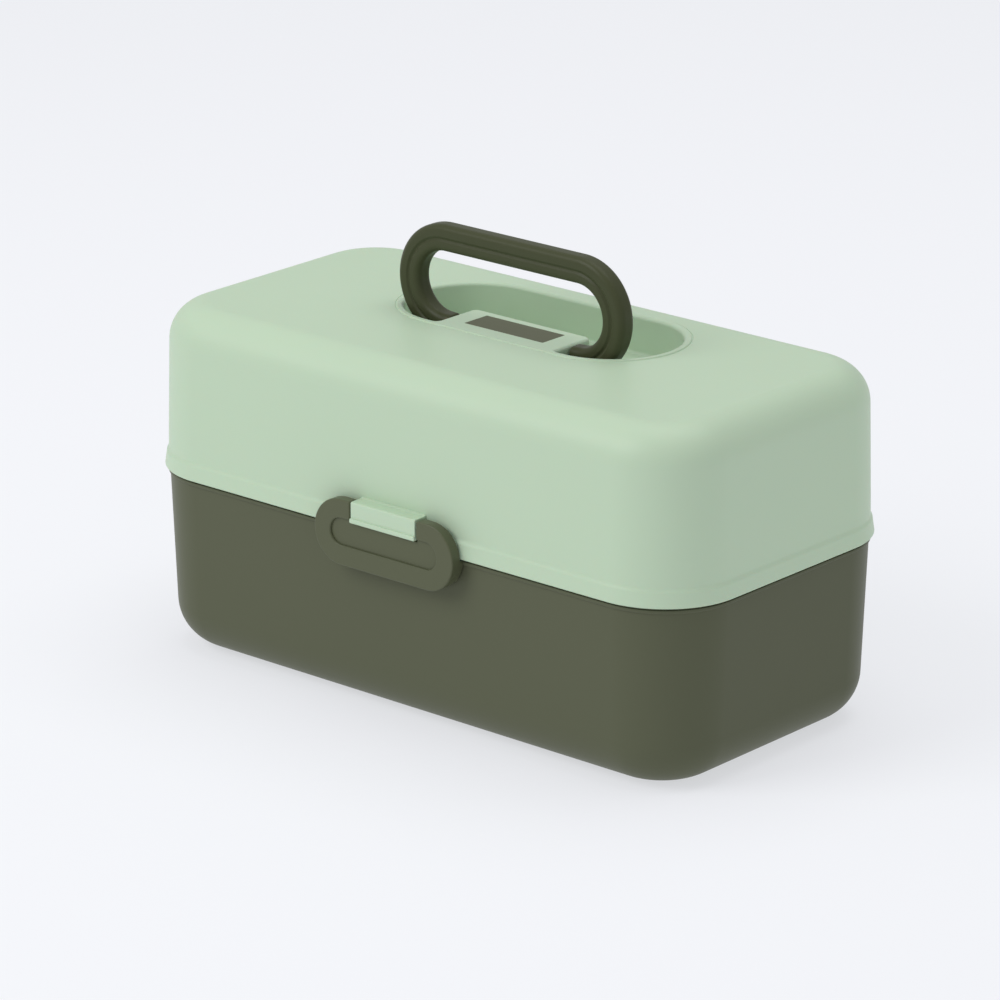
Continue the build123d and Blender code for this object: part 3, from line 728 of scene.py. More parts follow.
# ---------------------------------------------------------------- lid
@dataclass
class LidAssembly:
    """Domed lid with its rim band, handle recess, platform, strike, knuckles and label plate."""

    inset: float = 1.74
    draft: float = 1.46
    top: float = 168.2
    top_radius: float = 18.0
    wall_row: float = 128.0
    band_top: float = 96.8
    band_lean: float = 0.8
    flare_blend: float = 0.1
    step: float = 96.0
    rim_wall: float = 2.0
    recess_half: Pair = (74.0, 33.3)
    recess_y: float = 20.65
    recess_floor: float = 149.9
    recess_edge: float = 1.8
    recess_foot: float = 2.0
    flange_margin: float = 3.6
    flange_rise: float = 0.4
    platform_half: float = 35.3
    platform_rear: float = 14.2
    label_half: Pair = (23.55, 7.85)
    label_y: float = 0.9
    label_depth: float = 0.8
    label_corner: float = 0.35
    label_gap: float = 0.1
    handle_axis: Pair = (0.9, 162.1)
    socket: float = 2.26
    socket_boss: float = 4.2
    socket_inner_x: float = 30.4
    link_boss: float = 5.0
    link_boss_x: Pair = (159.5, 162.0)
    strike_half: float = 19.4
    strike_front: float = -89.8
    strike_z: Pair = (94.2, 104.2)
    strike_root: float = 1.3
    lip_proud: float = 0.9
    lip_height: float = 2.3
    lip_extra_x: float = 0.2

    @property
    def crest(self) -> float:
        """Height of the raised flange and the platform."""
        return self.top + self.flange_rise

    def outer_profile(self) -> list[Pair]:
        """Rim's lower edge, band, flare into the wall, wall and top fillet.

        The band leans in towards its top. The flare is a convex and a concave arc that meet where
        both lean by the same angle; that angle's cosine is 1 - offset / (sum of the radii).
        """
        wall = LeaningWall(-self.inset, self.band_top, self.draft)
        crown, cove, start, edge = 3.0, 3.0, 95.0, 0.9
        offset = self.inset + self.flare_blend - self.band_lean
        lean = math.acos(1 - offset / (crown + cove))
        rise = (crown + cove) * math.sin(lean)
        degrees = math.degrees(lean)
        band = arc((-edge, SHELL.parting + edge), edge, -90, 0, 7)
        flare = arc((-self.band_lean - crown, start), crown, 0, degrees, 6)
        flare += arc((cove - offset - self.band_lean, start + rise), cove, 180 + degrees, 180, 8)[1:]
        strike_top = self.strike_z[1]
        rows = [(wall.at(z), z) for z in (strike_top + 2.2, strike_top + 3.2, self.wall_row)]
        return band + flare + rows + wall.fillet(self.top, self.top_radius, 20)

    def inner_profile(self) -> list[Pair]:
        """Ceiling fillet, inner wall, step over the tub's lip and the rim's inner face."""
        face = -self.inset - SHELL.wall
        wall = LeaningWall(face, self.band_top, self.draft)
        ceiling = wall.fillet(self.top - SHELL.wall, self.top_radius - SHELL.wall, 16)
        rim, soft, tight = -self.rim_wall, 0.3, 0.2
        ledge = [(face, self.step + soft), (face + soft, self.step), (rim - tight, self.step)]
        ledge += [(rim, self.step - tight), (rim, SHELL.parting + soft), (rim + soft, SHELL.parting)]
        return ceiling[::-1] + ledge

    def recess_outline(self) -> Outline:
        """U-shaped recess: a stadium less the platform that joins its front edge."""
        half_u, half_v = self.recess_half
        low, high = self.recess_y - half_v, self.recess_y + half_v
        nose, heel = 3.6, 2.4
        return Outline.rounded([
            (self.platform_half, low, heel), (half_u, low, half_v), (half_u, high, half_v),
            (-half_u, high, half_v), (-half_u, low, half_v), (-self.platform_half, low, heel),
            (-self.platform_half, self.platform_rear, nose), (self.platform_half, self.platform_rear, nose),
        ], pitch=7.0, turn_steps=18)

    def flange_outline(self) -> Outline:
        """Stadium of the recess without the platform."""
        half_u, half_v = self.recess_half
        y_span = (self.recess_y - half_v, self.recess_y + half_v)
        return Outline.between((-half_u, half_u), y_span, half_v, turn_steps=24)

    def label_outline(self, margin: float) -> Outline:
        """Label's rectangle, grown by a margin."""
        half_x, half_y = np.add(self.label_half, margin)
        y_span = (self.label_y - half_y, self.label_y + half_y)
        return Outline.between((-half_x, half_x), y_span, self.label_corner, turn_steps=4)

    def shell_skin(self) -> Skin:
        """The thin-walled moulding as one closed skin."""
        skin = Skin()
        body = skin.sweep(SHELL.outline(), self.inner_profile() + self.outer_profile())
        margin, high = self.flange_margin, self.crest
        ring = skin.sweep(self.flange_outline(), [
            (margin + 0.7, self.top), (margin + 0.5, self.top - 0.25), (margin + 0.15, self.top - 0.25),
            (margin, self.top + 0.1), (margin - 0.2, high - 0.06), (margin - 0.5, high),
        ])
        skin.cap(body[-1], ring[0])
        edge, floor, foot = self.recess_edge, self.recess_floor, self.recess_foot
        hollow = skin.sweep(self.recess_outline(), (
            arc((edge, high - edge), edge, 90, 180, 8) + arc((-foot, floor + foot), foot, 0, -90, 6)))
        sink = 0.12
        seat = [(sink, high), (0, high - sink), (0, high - self.label_depth)]
        plate = skin.sweep(self.label_outline(self.label_gap), seat)
        skin.cap(plate[-1])
        skin.cap(ring[-1], hollow[0], plate[0])
        skin.cap(hollow[-1])
        under, keel = self.top - SHELL.wall, floor - SHELL.wall
        inside = skin.sweep(self.recess_outline(), [
            (SHELL.wall + 0.8, under), (SHELL.wall + 0.2, under - 0.2), (SHELL.wall, under - 0.8),
            (SHELL.wall, keel + 1.4), (SHELL.wall - 0.4, keel + 0.4), (SHELL.wall - 1.4, keel),
        ])
        skin.cap(body[0], inside[0])
        skin.cap(inside[-1])
        return skin

    def strike_skins(self) -> list[Skin]:
        """Catch block with a tiny fillet into the wall and a lip along its lower edge."""
        (low, high), front = self.strike_z, self.strike_front
        face = -SHELL.half_y + self.inset
        root, brow = face + self.strike_root, high + 0.4
        block = Outline.rounded([
            (front, low, 0.5), (root, low, 0.5), (root, brow, 0.5),
            (face - 0.1, brow, 0.5), (face - 1.2, high, 1.6), (front, high, 1.0),
        ], pitch=3.0, turn_steps=8)
        lip_y = (front - self.lip_proud, front + 1.5)
        lip = Outline.between(lip_y, (low, low + self.lip_height), 0.75, turn_steps=6)
        half, lip_half = self.strike_half, self.strike_half + self.lip_extra_x
        return [
            Skin(View.SIDE).pad(block, (-half, half), 0.45),
            Skin(View.SIDE).pad(lip, (-lip_half, lip_half), 0.6),
        ]

    def knuckles(self) -> list[Skin]:
        """Lid knuckle of each hinge, its leaf running onto the rim band."""
        y, z, r, bend = HINGE.y, HINGE.z, HINGE.knuckle, HINGE.bend
        root = SHELL.half_y - self.rim_wall / 2
        leaf = [(y - r, z - r, bend), (y + r, z - r, bend), (y + r, z + r, bend)]
        leaf += [(root, z + r, 0.5), (root, z, 0.5), (y - r, z, 0.05)]
        bore = HINGE.pin + HINGE.running_gap
        return [HINGE.knuckle_skin(leaf, HINGE.lid_span(side), bore) for side in SIDES.values()]

    def build(self) -> None:
        """Builds the lid moulding and the label plate."""
        skins = [self.shell_skin(), *self.strike_skins(), *self.knuckles()]
        cutters = []
        face, root = self.link_boss_x
        inner, outer = self.socket_inner_x, self.platform_half
        for side in SIDES.values():
            sleeve_x = (side * inner, side * (outer - 0.6))
            bore_x = (side * (inner - 1.4), side * (outer + 1.7))
            skins.append(boss(LID_PIVOT, side * face, side * root, self.link_boss, LINKAGE.pivot))
            skins.append(rod(self.handle_axis, sleeve_x, self.socket_boss))
            cutters.append(rod(self.handle_axis, bore_x, self.socket, 0.2))
        make_piece("lid_moulding", skins, Seat("lid", "lid_plastic", ("lid_shell",)), SAGE, cutters)
        plate = Skin().pad(self.label_outline(0.0), (self.crest - self.label_depth, self.crest - 0.02), 0.15)
        make_piece("label_inlay", [plate], Seat("lid", "trim_plastic", ("label_plate",)), LABEL_OLIVE)


# ---------------------------------------------------------------- tub
@dataclass
class BaseAssembly:
    """Deep tub with its bead and lip, hinge knuckles and pins, latch lugs and arm bosses."""

    inset: float = 2.33
    draft: float = 2.05
    foot_radius: float = 23.0
    bead_z: Pair = (86.2, 87.8)
    bead_proud: float = 0.8
    lip_top: float = 95.4
    latch_axis: Pair = (-85.6, 76.6)
    lug_x: float = 20.0
    lug_radius: float = 2.8
    lug_width: float = 6.0
    lug_bore: float = 1.31
    gusset: float = 5.0
    boss_x: float = 157.2
    boss_radius: float = 6.0
    boss_roots: Pair = (160.3, 161.2)

    def profile(self) -> list[Pair]:
        """Underside fillet, wall, bead, lip, inner wall and floor fillet."""
        face, edge = -self.inset, 0.6
        outer = LeaningWall(face, SHELL.parting, self.draft)
        inner = LeaningWall(face - SHELL.wall, SHELL.parting, self.draft)
        low, high = self.bead_z
        crest = face + self.bead_proud
        bead = [(outer.at(low - 0.5), low - 0.5), (face + 0.1, low - 0.1)]
        bead += arc((crest - 0.5, low + 0.5), 0.5, -60, 0, 4) + arc((crest - 0.4, high - 0.4), 0.4, 0, 90, 4)
        lip = [(face, high)] + arc((face - edge, self.lip_top - edge), edge, 0, 90, 5)
        lip += arc((face - SHELL.wall + edge, self.lip_top - edge), edge, 90, 180, 5)
        foot = outer.fillet(0.0, self.foot_radius, 20)
        floor = inner.fillet(SHELL.wall, self.foot_radius - SHELL.wall, 16)
        return foot[::-1] + bead + lip + [(face - SHELL.wall, SHELL.parting)] + floor

    def shell_skin(self) -> Skin:
        """The thin-walled tub as one closed skin."""
        skin = Skin()
        body = skin.sweep(SHELL.outline(), self.profile())
        skin.cap(body[0])
        skin.cap(body[-1])
        return skin

    def knuckles(self) -> list[Skin]:
        """Two knuckles of each hinge on gussets that run down the wall."""
        y, z, r, bend = HINGE.y, HINGE.z, HINGE.knuckle, HINGE.bend
        root = SHELL.half_y - self.inset - SHELL.wall / 2
        under_lid = z - 0.3
        leaf = [(root, z - r - self.gusset, 0.5), (y - r, z - r, 3.0), (y + r, z - r, bend)]
        leaf += [(y + r, z + r, bend), (y - r, z + r, bend), (y - r, under_lid, 0.05), (root, under_lid, 0.5)]
        spans = [span for side in SIDES.values() for span in HINGE.base_spans(side)]
        return [HINGE.knuckle_skin(leaf, span, HINGE.pin) for span in spans]

    def lugs(self) -> list[Skin]:
        """Lugs for the latch's pin, each a round-nosed bar rooted in the wall."""
        y, z = self.latch_axis
        root = -SHELL.half_y + self.inset - 0.8
        nose = Outline.bar((root, z), (y, z), 2 * self.lug_radius, 16)
        hole = Outline.circle(self.lug_bore, (y, z), 24)
        half = self.lug_width / 2
        centres = [side * self.lug_x for side in SIDES.values()]
        return [Skin(View.SIDE).pad(nose, (x - half, x + half), 0.35, [hole]) for x in centres]

    def build(self) -> None:
        """Builds the tub moulding and the hinge pins."""
        skins = [self.shell_skin(), *self.knuckles(), *self.lugs()]
        for side in SIDES.values():
            for pivot, root in zip((LINKAGE.rear, LINKAGE.front), self.boss_roots):
                skins.append(boss(pivot, side * self.boss_x, side * root, self.boss_radius, LINKAGE.pivot))
        make_piece("tub_moulding", skins, Seat("base", "base_plastic", ("base_tub",)), OLIVE)
        for name, side in SIDES.items():
            (start, _), (_, end) = HINGE.base_spans(side)
            pin = rod((HINGE.y, HINGE.z), (start, end), HINGE.pin)
            make_piece(f"hinge_wire_{name}", [pin], Seat("base", "pin_steel", (f"hinge_pin_{name}",)), STEEL)


# ---------------------------------------------------------------- handle
@dataclass
class HandleAssembly:
    """C-shaped grip with a groove along both faces, swept along a stadium, and its stub pins."""

    length: float = 135.2
    height: float = 55.6
    band: float = 12.8
    thick: float = 10.0
    plane_y: float = 0.9
    centre_z: float = 183.5
    foot_x: float = 36.0
    foot_edge: float = 1.6
    pin: float = 2.2
    pin_end: float = 31.0
    edge: float = 3.2
    groove_at: float = -0.3
    groove_half: float = 1.2
    groove_depth: float = 0.8

    def section(self) -> Outline:
        """Section across the bar as (outward, across): a soft rectangle with two grooves."""
        a, b, r = self.band / 2, self.thick / 2, self.edge
        middle, deep = self.groove_at, b - self.groove_depth
        left, right = middle - self.groove_half, middle + self.groove_half
        brink, bed = 0.8, 0.6
        return Outline.rounded([
            (-a, -b, r), (left, -b, brink), (middle, -deep, bed), (right, -b, brink), (a, -b, r),
            (a, b, r), (right, b, brink), (middle, deep, bed), (left, b, brink), (-a, b, r),
        ], pitch=1.2, turn_steps=9)

    def stations(self) -> tuple[Array, Array, Array]:
        """Centre line from the right foot over the top to the left foot.

        Each bend is a half circle about (+-straight, centre) and the grip joins them. At a foot
        the section shrinks by a quarter circle over the last stretch.

        Returns:
            Points, outward normals and the section's scale at each.
        """
        radius, straight = (self.height - self.band) / 2, (self.length - self.height) / 2
        turn = np.radians(np.linspace(-90, 90, 49))
        normals = np.stack([np.cos(turn), np.sin(turn)], -1)
        bend = normals * radius + (straight, self.centre_z)
        half = np.linspace(1, 0, 9)[1:-1, None] * (straight, 0) + (0, self.centre_z + radius)
        shrink = np.radians(np.linspace(0, 90, 6))[:-1]
        foot_x = self.foot_x + self.foot_edge * (1 - np.cos(shrink))
        foot = np.stack([foot_x, np.full(len(shrink), self.centre_z - radius)], -1)
        down = np.repeat([[0.0, -1.0]], len(foot), 0)
        side = np.concatenate([foot, bend, half])
        facing = np.concatenate([down, normals, -np.repeat(down[:1], len(half), 0)])
        rounding = 2 * self.foot_edge / self.thick * (1 - np.sin(shrink))
        scale = np.concatenate([1 - rounding, np.ones(len(bend) + len(half))])
        mirror = np.array([-1.0, 1.0])
        middle = np.array([[0.0, self.centre_z + radius]])
        points = np.concatenate([side, middle, side[::-1] * mirror])
        outward = np.concatenate([facing, [[0.0, 1.0]], facing[::-1] * mirror])
        return points, outward, np.concatenate([scale, [1.0], scale[::-1]])

    def grip_skin(self) -> Skin:
        """The section carried along the stations.

        A point is the station's point, moved along its normal by the section's outward value,
        and across by its other value, both times the station's scale.
        """
        points, outward, scale = self.stations()
        shape = scale[:, None, None] * self.section().points[None]
        rows = points[:, None] + shape[..., :1] * outward[:, None]
        skin = Skin(View.FRONT)
        index = skin.add_grid(np.concatenate([rows, shape[..., 1:] + self.plane_y], -1))
        skin.fan(index[0])
        skin.fan(index[-1])
        return skin

    def build(self) -> None:
        """Builds the handle with the stub pins that turn in the platform."""
        axis = (self.plane_y, self.centre_z - (self.height - self.band) / 2)
        root = self.foot_x + 3
        stubs = [rod(axis, (side * self.pin_end, side * root), self.pin) for side in SIDES.values()]
        seat = Seat("handle", "trim_plastic", ("handle",))
        make_piece("carry_handle", [self.grip_skin(), *stubs], seat, TRIM_OLIVE, crease=50.0)


# ---------------------------------------------------------------- latch
@dataclass
class LatchAssembly:
    """Swing latch: stadium frame open at the top, sunk panel, heel and the wire it turns on."""

    half_length: float = 41.8
    half_height: float = 15.75
    centre_z: float = 88.15
    front: float = -89.8
    rim_back: float = -84.1
    back: float = -82.3
    step: float = 88.3
    gap_half: float = 20.0
    gap_z: float = 93.6
    panel_half: Pair = (32.0, 6.35)
    panel_z: float = 88.6
    panel_depth: float = 1.2
    panel_lap: float = 0.8
    hair: float = 0.05
    axis: Pair = (-85.6, 76.6)
    pin: float = 1.25
    pin_half: float = 28.0
    lug_x: float = 20.0
    lug_half: float = 3.4
    lug_reach: float = 3.3
    heel_half: float = 25.5
    heel_bend: float = 3.2

    @staticmethod
    def mirrored(right: Sequence[Corner], turn_steps: int) -> Outline:
        """Outline through the corners of a right half and their mirror images.

        Args:
            right: (x, z, radius) of the right half's corners, anticlockwise.
            turn_steps: Steps in a quarter turn.

        Returns:
            The whole outline.
        """
        left = [(-x, z, radius) for x, z, radius in reversed(right)]
        return Outline.rounded([*right, *left], pitch=5.0, turn_steps=turn_steps)

    def frame_outline(self) -> Outline:
        """Stadium ring broken at its top by the gap between the two horns."""
        u, v, r = self.half_length, self.half_height, self.half_height
        low, high = self.centre_z - v, self.centre_z + v
        a, b = self.panel_half
        floor, roof, g = self.panel_z - b, self.panel_z + b, self.gap_half
        tip = 1.1
        right = [(u, low, r), (u, high, r), (g, high, tip), (g, roof, tip), (a, roof, b), (a, floor, b)]
        return self.mirrored(right, 20)

    def panel_outline(self) -> Outline:
        """Panel that fills the ring and stops below the gap."""
        a, b = np.add(self.panel_half, self.panel_lap)
        floor, roof, g = self.panel_z - b, self.panel_z + b, self.gap_half - self.hair
        bend, tip = b - self.hair, 0.5
        right = [(a, floor, bend), (a, roof, bend), (g, roof, tip), (g, self.gap_z, tip)]
        return self.mirrored(right, 14)

    def back_outline(self) -> Outline:
        """Part of the stadium between the pin and the step that passes below the rim band."""
        r = self.half_height - self.hair
        first, last = (math.degrees(math.asin((z - self.centre_z) / r)) for z in (self.axis[1], self.step))
        bend = arc((self.half_length - self.half_height, self.centre_z), r, first, last, 8)
        return self.mirrored([(x, z, 0.9) for x, z in bend], 10)

    def heel_outline(self) -> Outline:
        """Side view of the thick lower part, rounded behind so that it clears the wall."""
        low = self.centre_z - self.half_height
        middle = (self.rim_back + self.front) / 2
        return Outline.rounded([
            (middle, low, 0.5), (self.back, low, self.heel_bend),
            (self.back, self.step, 0.6), (middle, self.step, 0.5),
        ], pitch=3.0)

    def build(self) -> None:
        """Builds the latch, with pockets for the lugs, and its wire."""
        ring = Skin(View.FRONT).pad(self.frame_outline(), (self.front, self.rim_back), 0.8)
        panel_y = (self.front + self.panel_depth, self.rim_back + 0.1)
        panel = Skin(View.FRONT).pad(self.panel_outline(), panel_y, 0.3)
        heel = Skin(View.SIDE).pad(self.heel_outline(), (-self.heel_half, self.heel_half), 0.4)
        back = Skin(View.FRONT).pad(self.back_outline(), (self.rim_back - 2.5, self.back), 0.5)
        (y, z), reach = self.axis, self.lug_reach
        pocket = Outline.between((y - reach, y + 3 * reach), (z - 4 * reach, z + reach), 0.6)
        cutters = []
        for side in SIDES.values():
            x_span = (side * self.lug_x - self.lug_half, side * self.lug_x + self.lug_half)
            cutters.append(Skin(View.SIDE).pad(pocket, x_span, 0.2))
        seat = Seat("latch", "trim_plastic", ("latch",))
        make_piece("swing_latch", [ring, panel, heel, back], seat, LATCH_OLIVE, cutters)
        wire = rod(self.axis, (-self.pin_half, self.pin_half), self.pin)
        make_piece("latch_wire", [wire], Seat("latch", "pin_steel", ("latch_pin",)), STEEL)


# ---------------------------------------------------------------- trays
@dataclass
class TrayAssembly:
    """One tray: drafted walls, rolled rim, ribs, and the rivets that hold it to the arms.

    Attributes:
        name: Node of the tray, which is also its body.
        rear: Y of its rear wall's face.
        z_span: Heights of its underside and rim.
        channel_y: Y of a rib along the tray, or None where it has none.
    """

    name: str
    rear: float
    z_span: Pair
    channel_y: float | None = None
    half_x: float = 149.8
    front: float = -72.0
    corner: float = 22.0
    wall: float = 2.0
    draft: float = 1.5
    rib: float = 1.6
    rib_drop: float = 2.0
    rib_corner: float = 0.8
    rib_count: int = 3
    boss_face: float = 153.4
    boss_radius: float = 5.0
    ear_half: float = 6.0
    ear_x: Pair = (150.2, 153.2)
    ear_root_x: Pair = (148.6, 151.0)
    ear_root_height: float = 9.0

    def shell_skin(self) -> Skin:
        """Open tray with a rounded rim as one closed skin."""
        low, high = self.z_span
        edge = 0.7
        outer = LeaningWall(0.0, high, self.draft)
        inner = LeaningWall(-self.wall, high, self.draft)
        rim = arc((-edge, high - edge), edge, 0, 90, 5)
        rim += arc((edge - self.wall, high - edge), edge, 90, 180, 5)
        profile = outer.fillet(low, self.wall, 7)[::-1] + rim + inner.fillet(low + self.wall, self.wall, 7)
        skin = Skin()
        x_span, y_span = (-self.half_x, self.half_x), (self.front, self.rear)
        outline = Outline.between(x_span, y_span, self.corner, turn_steps=18)
        body = skin.sweep(outline, profile)
        skin.cap(body[0])
        skin.cap(body[-1])
        return skin

    def ribs(self) -> list[Skin]:
        """Thin walls that part the tray into equal cells, and the one along it."""
        low, high = self.z_span
        z_rib = (low + self.wall / 2, high - self.rib_drop)
        start = self.front if self.channel_y is None else self.channel_y - self.wall / 2
        y_rib = (start + self.wall / 2, self.rear - self.wall / 2)
        across = Outline.between(y_rib, z_rib, self.rib_corner, turn_steps=4)
        pitch = 2 * self.half_x / (self.rib_count + 1)
        centres = [pitch * (index + 1) - self.half_x for index in range(self.rib_count)]
        made = [Skin(View.SIDE).pad(across, (x - self.rib / 2, x + self.rib / 2), 0.5) for x in centres]
        if self.channel_y is not None:
            half = self.half_x - self.wall / 2
            along = Outline.between((-half, half), z_rib, self.rib_corner, turn_steps=4)
            y_span = (self.channel_y - self.rib / 2, self.channel_y + self.rib / 2)
            made.append(Skin(View.FRONT).pad(along, y_span, 0.5))
        return made

    def bosses(self) -> list[Skin]:
        """Boss for each arm of the lower tray."""
        face, root = self.boss_face, self.half_x - self.wall / 2
        return [
            boss(pivot, side * face, side * root, self.boss_radius, LINKAGE.pivot)
            for side in SIDES.values()
            for pivot in LINKAGE.lower_pivots()
        ]

    def ears(self) -> list[Skin]:
        """Ears that hang from the upper tray's ends to the arm pivots."""
        made = []
        half, bend, shoulder, inset = self.ear_half, self.ear_half - 0.05, 1.2, 0.2
        low = self.z_span[0] + self.wall
        high = low + self.ear_root_height
        for side in SIDES.values():
            for y, z in LINKAGE.upper_pivots():
                plate = Outline.rounded([
                    (y - half, z - half, bend), (y + half, z - half, bend),
                    (y + half, high, shoulder), (y - half, high, shoulder),
                ], pitch=6.0)
                hole = Outline.circle(LINKAGE.pivot, (y, z), 28)
                root = Outline.between((y - half + inset, y + half - inset), (low, high), 1.0)
                plate_x, root_x = ([side * x for x in span] for span in (self.ear_x, self.ear_root_x))
                made.append(Skin(View.SIDE).pad(plate, plate_x, 0.5, [hole]))
                made.append(Skin(View.SIDE).pad(root, root_x, 0.3))
        return made

    def rivets(self, side: float) -> list[Skin]:
        """The two rivets at one end of the tray.

        Args:
            side: -1 for the left end of the box and 1 for the right.

        Returns:
            Rear and front rivet.
        """
        arm_face, link_face = LINKAGE.arm_x[1] + LINKAGE.gap, LINKAGE.link_x[1] + LINKAGE.gap
        outer = (arm_face, arm_face + LINKAGE.head)
        if self.channel_y is None:
            start, radius = self.half_x - self.wall / 4, LINKAGE.head_radius - 2 * LINKAGE.gap
            return [rivet(pivot, side, (start, outer[1]), outer, radius) for pivot in LINKAGE.lower_pivots()]
        rear, front = LINKAGE.upper_pivots()
        over_link = (link_face, LINKAGE.link_x[1] + LINKAGE.head)
        start, radius = self.ear_x[0] + 0.3, LINKAGE.head_radius
        return [
            rivet(rear, side, (start, link_face), over_link, radius),
            rivet(front, side, (start, outer[1]), outer, radius),
        ]

    def build(self) -> None:
        """Builds the tray and its rivets."""
        hangers = self.bosses() if self.channel_y is None else self.ears()
        skins = [self.shell_skin(), *self.ribs(), *hangers]
        make_piece(f"{self.name}_moulding", skins, Seat(self.name, "tray_plastic", (self.name,)), TRAY_SAGE)
        for name, side in SIDES.items():
            seat = Seat(self.name, "rivet_plastic", (f"{self.name}_rivets_{name}",))
            make_piece(f"{self.name}_studs_{name}", self.rivets(side), seat, RIVET_SAGE)


# ---------------------------------------------------------------- arms and links
@dataclass
class ArmLinkage:
    """Rear and front arm, lid link and fixed rivets of one end of the box.

    Attributes:
        name: left or right.
        side: -1 for left and 1 for right.
    """

    name: str
    side: float
    base_root: float = 160.4
    lid_root: float = 161.0
    lid_head_radius: float = 2.9

    def bar_skin(self, ends: Sequence[Pair], width: float, x_span: Pair, holes: Sequence[Pair]) -> Skin:
        """Flat bar with round ends and bores.

        Args:
            ends: Centres of its two round ends.
            width: Its width.
            x_span: Its layer in the linkage.
            holes: Centres of its bores.

        Returns:
            The bar's skin.
        """
        bores = [Outline.circle(LINKAGE.bore, hole, 28) for hole in holes]
        span = (self.side * x_span[0], self.side * x_span[1])
        return Skin(View.SIDE).pad(Outline.bar(ends[0], ends[1], width), span, 0.5, bores)

    def arm(self, start: Pair) -> Skin:
        """Arm from a pivot on the tub to the upper tray."""
        holes = [LINKAGE.along(start, share * LINKAGE.reach) for share in (0, 0.5, 1)]
        return self.bar_skin((holes[0], holes[-1]), LINKAGE.arm_width, LINKAGE.arm_x, holes)

    def build(self) -> None:
        """Builds the arms, the link and the rivets on the tub and the lid."""
        for place, start in (("rear", LINKAGE.rear), ("front", LINKAGE.front)):
            seat = Seat(f"{place}_arms", "arm_plastic", (f"{place}_arm_{self.name}",))
            make_piece(f"{place}_swing_arm_{self.name}", [self.arm(start)], seat, ARM_OLIVE)
        ends = (LINKAGE.upper_pivots()[0], LID_PIVOT)
        link = self.bar_skin(ends, LINKAGE.link_width, LINKAGE.link_x, ends)
        seat = Seat("lid_links", "arm_plastic", (f"lid_link_{self.name}",))
        make_piece(f"lid_strap_{self.name}", [link], seat, ARM_OLIVE)
        arm_face, link_face = LINKAGE.arm_x[0] - LINKAGE.gap, LINKAGE.link_x[0] - LINKAGE.gap
        head, shank = (arm_face, arm_face - LINKAGE.head), (self.base_root, arm_face)
        pivots = (LINKAGE.rear, LINKAGE.front)
        fixed = [rivet(pivot, self.side, shank, head, LINKAGE.head_radius) for pivot in pivots]
        seat = Seat("base", "rivet_plastic", (f"base_rivets_{self.name}",))
        make_piece(f"base_studs_{self.name}", fixed, seat, RIVET_SAGE)
        head, shank = (link_face, link_face - LINKAGE.head), (self.lid_root, link_face)
        stud = rivet(LID_PIVOT, self.side, shank, head, self.lid_head_radius)
        seat = Seat("lid", "rivet_plastic", (f"lid_rivet_{self.name}",))
        make_piece(f"lid_stud_{self.name}", [stud], seat, RIVET_SAGE)


# ---------------------------------------------------------------- studio
@dataclass(frozen=True)
class Softbox:
    """Square area light that points at the box.

    Attributes:
        name: Its name.
        place: Where it stands, in metres.
        size: Its side, in metres.
        power: Its power in watts.
    """

    name: str
    place: tuple[float, float, float]
    size: float
    power: float

    def build(self, target: Vector) -> None:
        """Adds the light, turned to the target."""
        light = bpy.data.lights.new(self.name, "AREA")
        light.size = self.size
        light.energy = self.power
        lamp = bpy.data.objects.new(self.name, light)
        lamp.location = self.place
        lamp.rotation_euler = (target - lamp.location).to_track_quat("-Z", "Y").to_euler()
        bpy.context.scene.collection.objects.link(lamp)


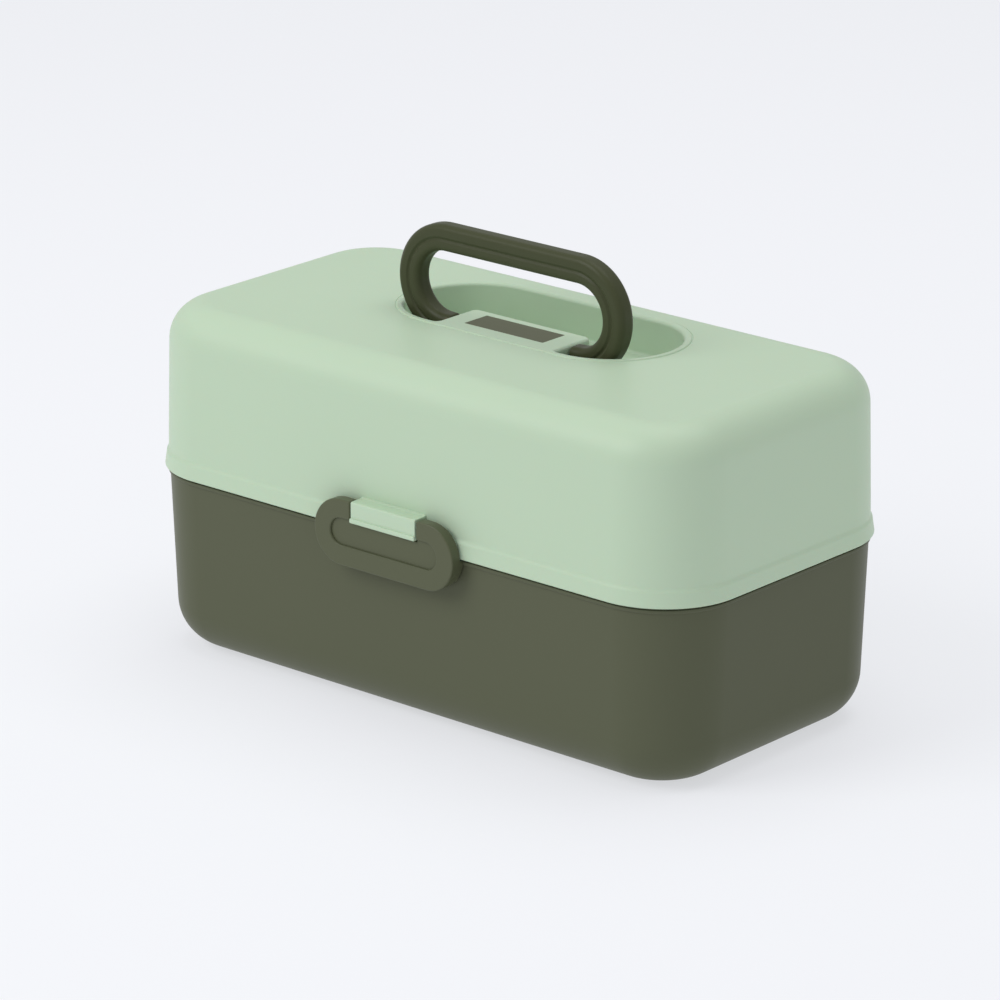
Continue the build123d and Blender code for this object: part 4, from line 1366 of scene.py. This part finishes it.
@dataclass
class Studio:
    """Pale floor, soft lights and the camera.

    Attributes:
        azimuth: Camera's turn about Z in degrees, 0 looking along +Y.
        elevation: Its height angle in degrees.
        shift_right: How far right of the box's axis it aims, in metres.
        shift_up: How far above the box's middle it aims, in metres.
        middle: Height of the box's middle, in metres.
        distance: How far it stands from its target, in metres.
        lens: Focal length in millimetres on a 36 mm sensor.
    """

    azimuth: float = 40.95
    elevation: float = 18.81
    shift_right: float = -0.00603
    shift_up: float = -0.00349
    middle: float = 0.09
    distance: float = 2.41357
    lens: float = 188.378
    floor_half: float = 6.0
    floor_colour: tuple[float, float, float] = (0.33, 0.334, 0.346)
    floor_glow: float = 1.78
    sky_colour: tuple[float, float, float] = (0.90, 0.905, 0.93)
    sky_strength: float = 0.55

    def camera(self) -> None:
        """Places the camera on its sphere about the box, looking square at its target."""
        turn, lift = math.radians(self.azimuth), math.radians(self.elevation)
        back = Vector((math.sin(turn) * math.cos(lift), -math.cos(turn) * math.cos(lift), math.sin(lift)))
        right = Vector((math.cos(turn), math.sin(turn), 0))
        target = Vector((0, 0, self.middle)) + right * self.shift_right + back.cross(right) * self.shift_up
        data = bpy.data.cameras.new("camera")
        data.lens = self.lens
        data.clip_end = 50
        camera = bpy.data.objects.new("camera", data)
        camera.location = target + back * self.distance
        camera.rotation_euler = back.to_track_quat("Z", "Y").to_euler()
        bpy.context.scene.collection.objects.link(camera)
        bpy.context.scene.camera = camera

    def floor(self) -> None:
        """Lays a pale floor that the box stands on."""
        h = self.floor_half
        mesh = bpy.data.meshes.new("floor")
        mesh.from_pydata([(-h, -h, 0), (h, -h, 0), (h, h, 0), (-h, h, 0)], [], [(0, 1, 2, 3)])
        plain = Finish(
            "pale_floor",
            self.floor_colour,
            roughness=0.9,
            grain=0.0,
            drift=0.003,
            mirror=0.1,
            glow=self.floor_glow,
        )
        mesh.materials.append(plain.material())
        ground = bpy.data.objects.new("floor", mesh)
        bpy.context.scene.collection.objects.link(ground)

    def sky(self) -> None:
        """Sets an even pale surround."""
        world = bpy.data.worlds.new("surround")
        world.use_nodes = True
        glow = world.node_tree.nodes["Background"]
        glow.inputs["Color"].default_value = (*self.sky_colour, 1)
        glow.inputs["Strength"].default_value = self.sky_strength
        bpy.context.scene.world = world

    def build(self) -> None:
        """Builds the whole studio."""
        self.floor()
        self.sky()
        target = Vector((0, 0, self.middle))
        for light in (
            Softbox("key", (-0.9, -1.8, 1.7), 1.4, 24.0),
            Softbox("overhead", (0.1, 0.4, 2.2), 1.8, 16.0),
        ):
            light.build(target)
        bpy.context.scene.view_settings.view_transform = "Standard"
        self.camera()


def main() -> None:
    """Builds every sub-assembly and the studio."""
    logging.basicConfig(level=logging.INFO, format="%(name)s %(message)s")
    LidAssembly().build()
    BaseAssembly().build()
    HandleAssembly().build()
    LatchAssembly().build()
    TrayAssembly("lower_tray", 55.0, (77.0, 102.0)).build()
    TrayAssembly("upper_tray", 54.0, (104.0, 128.0), channel_y=-32.0).build()
    for name, side in SIDES.items():
        ArmLinkage(name, side).build()
    Studio().build()


if __name__ == "__main__":
    main()
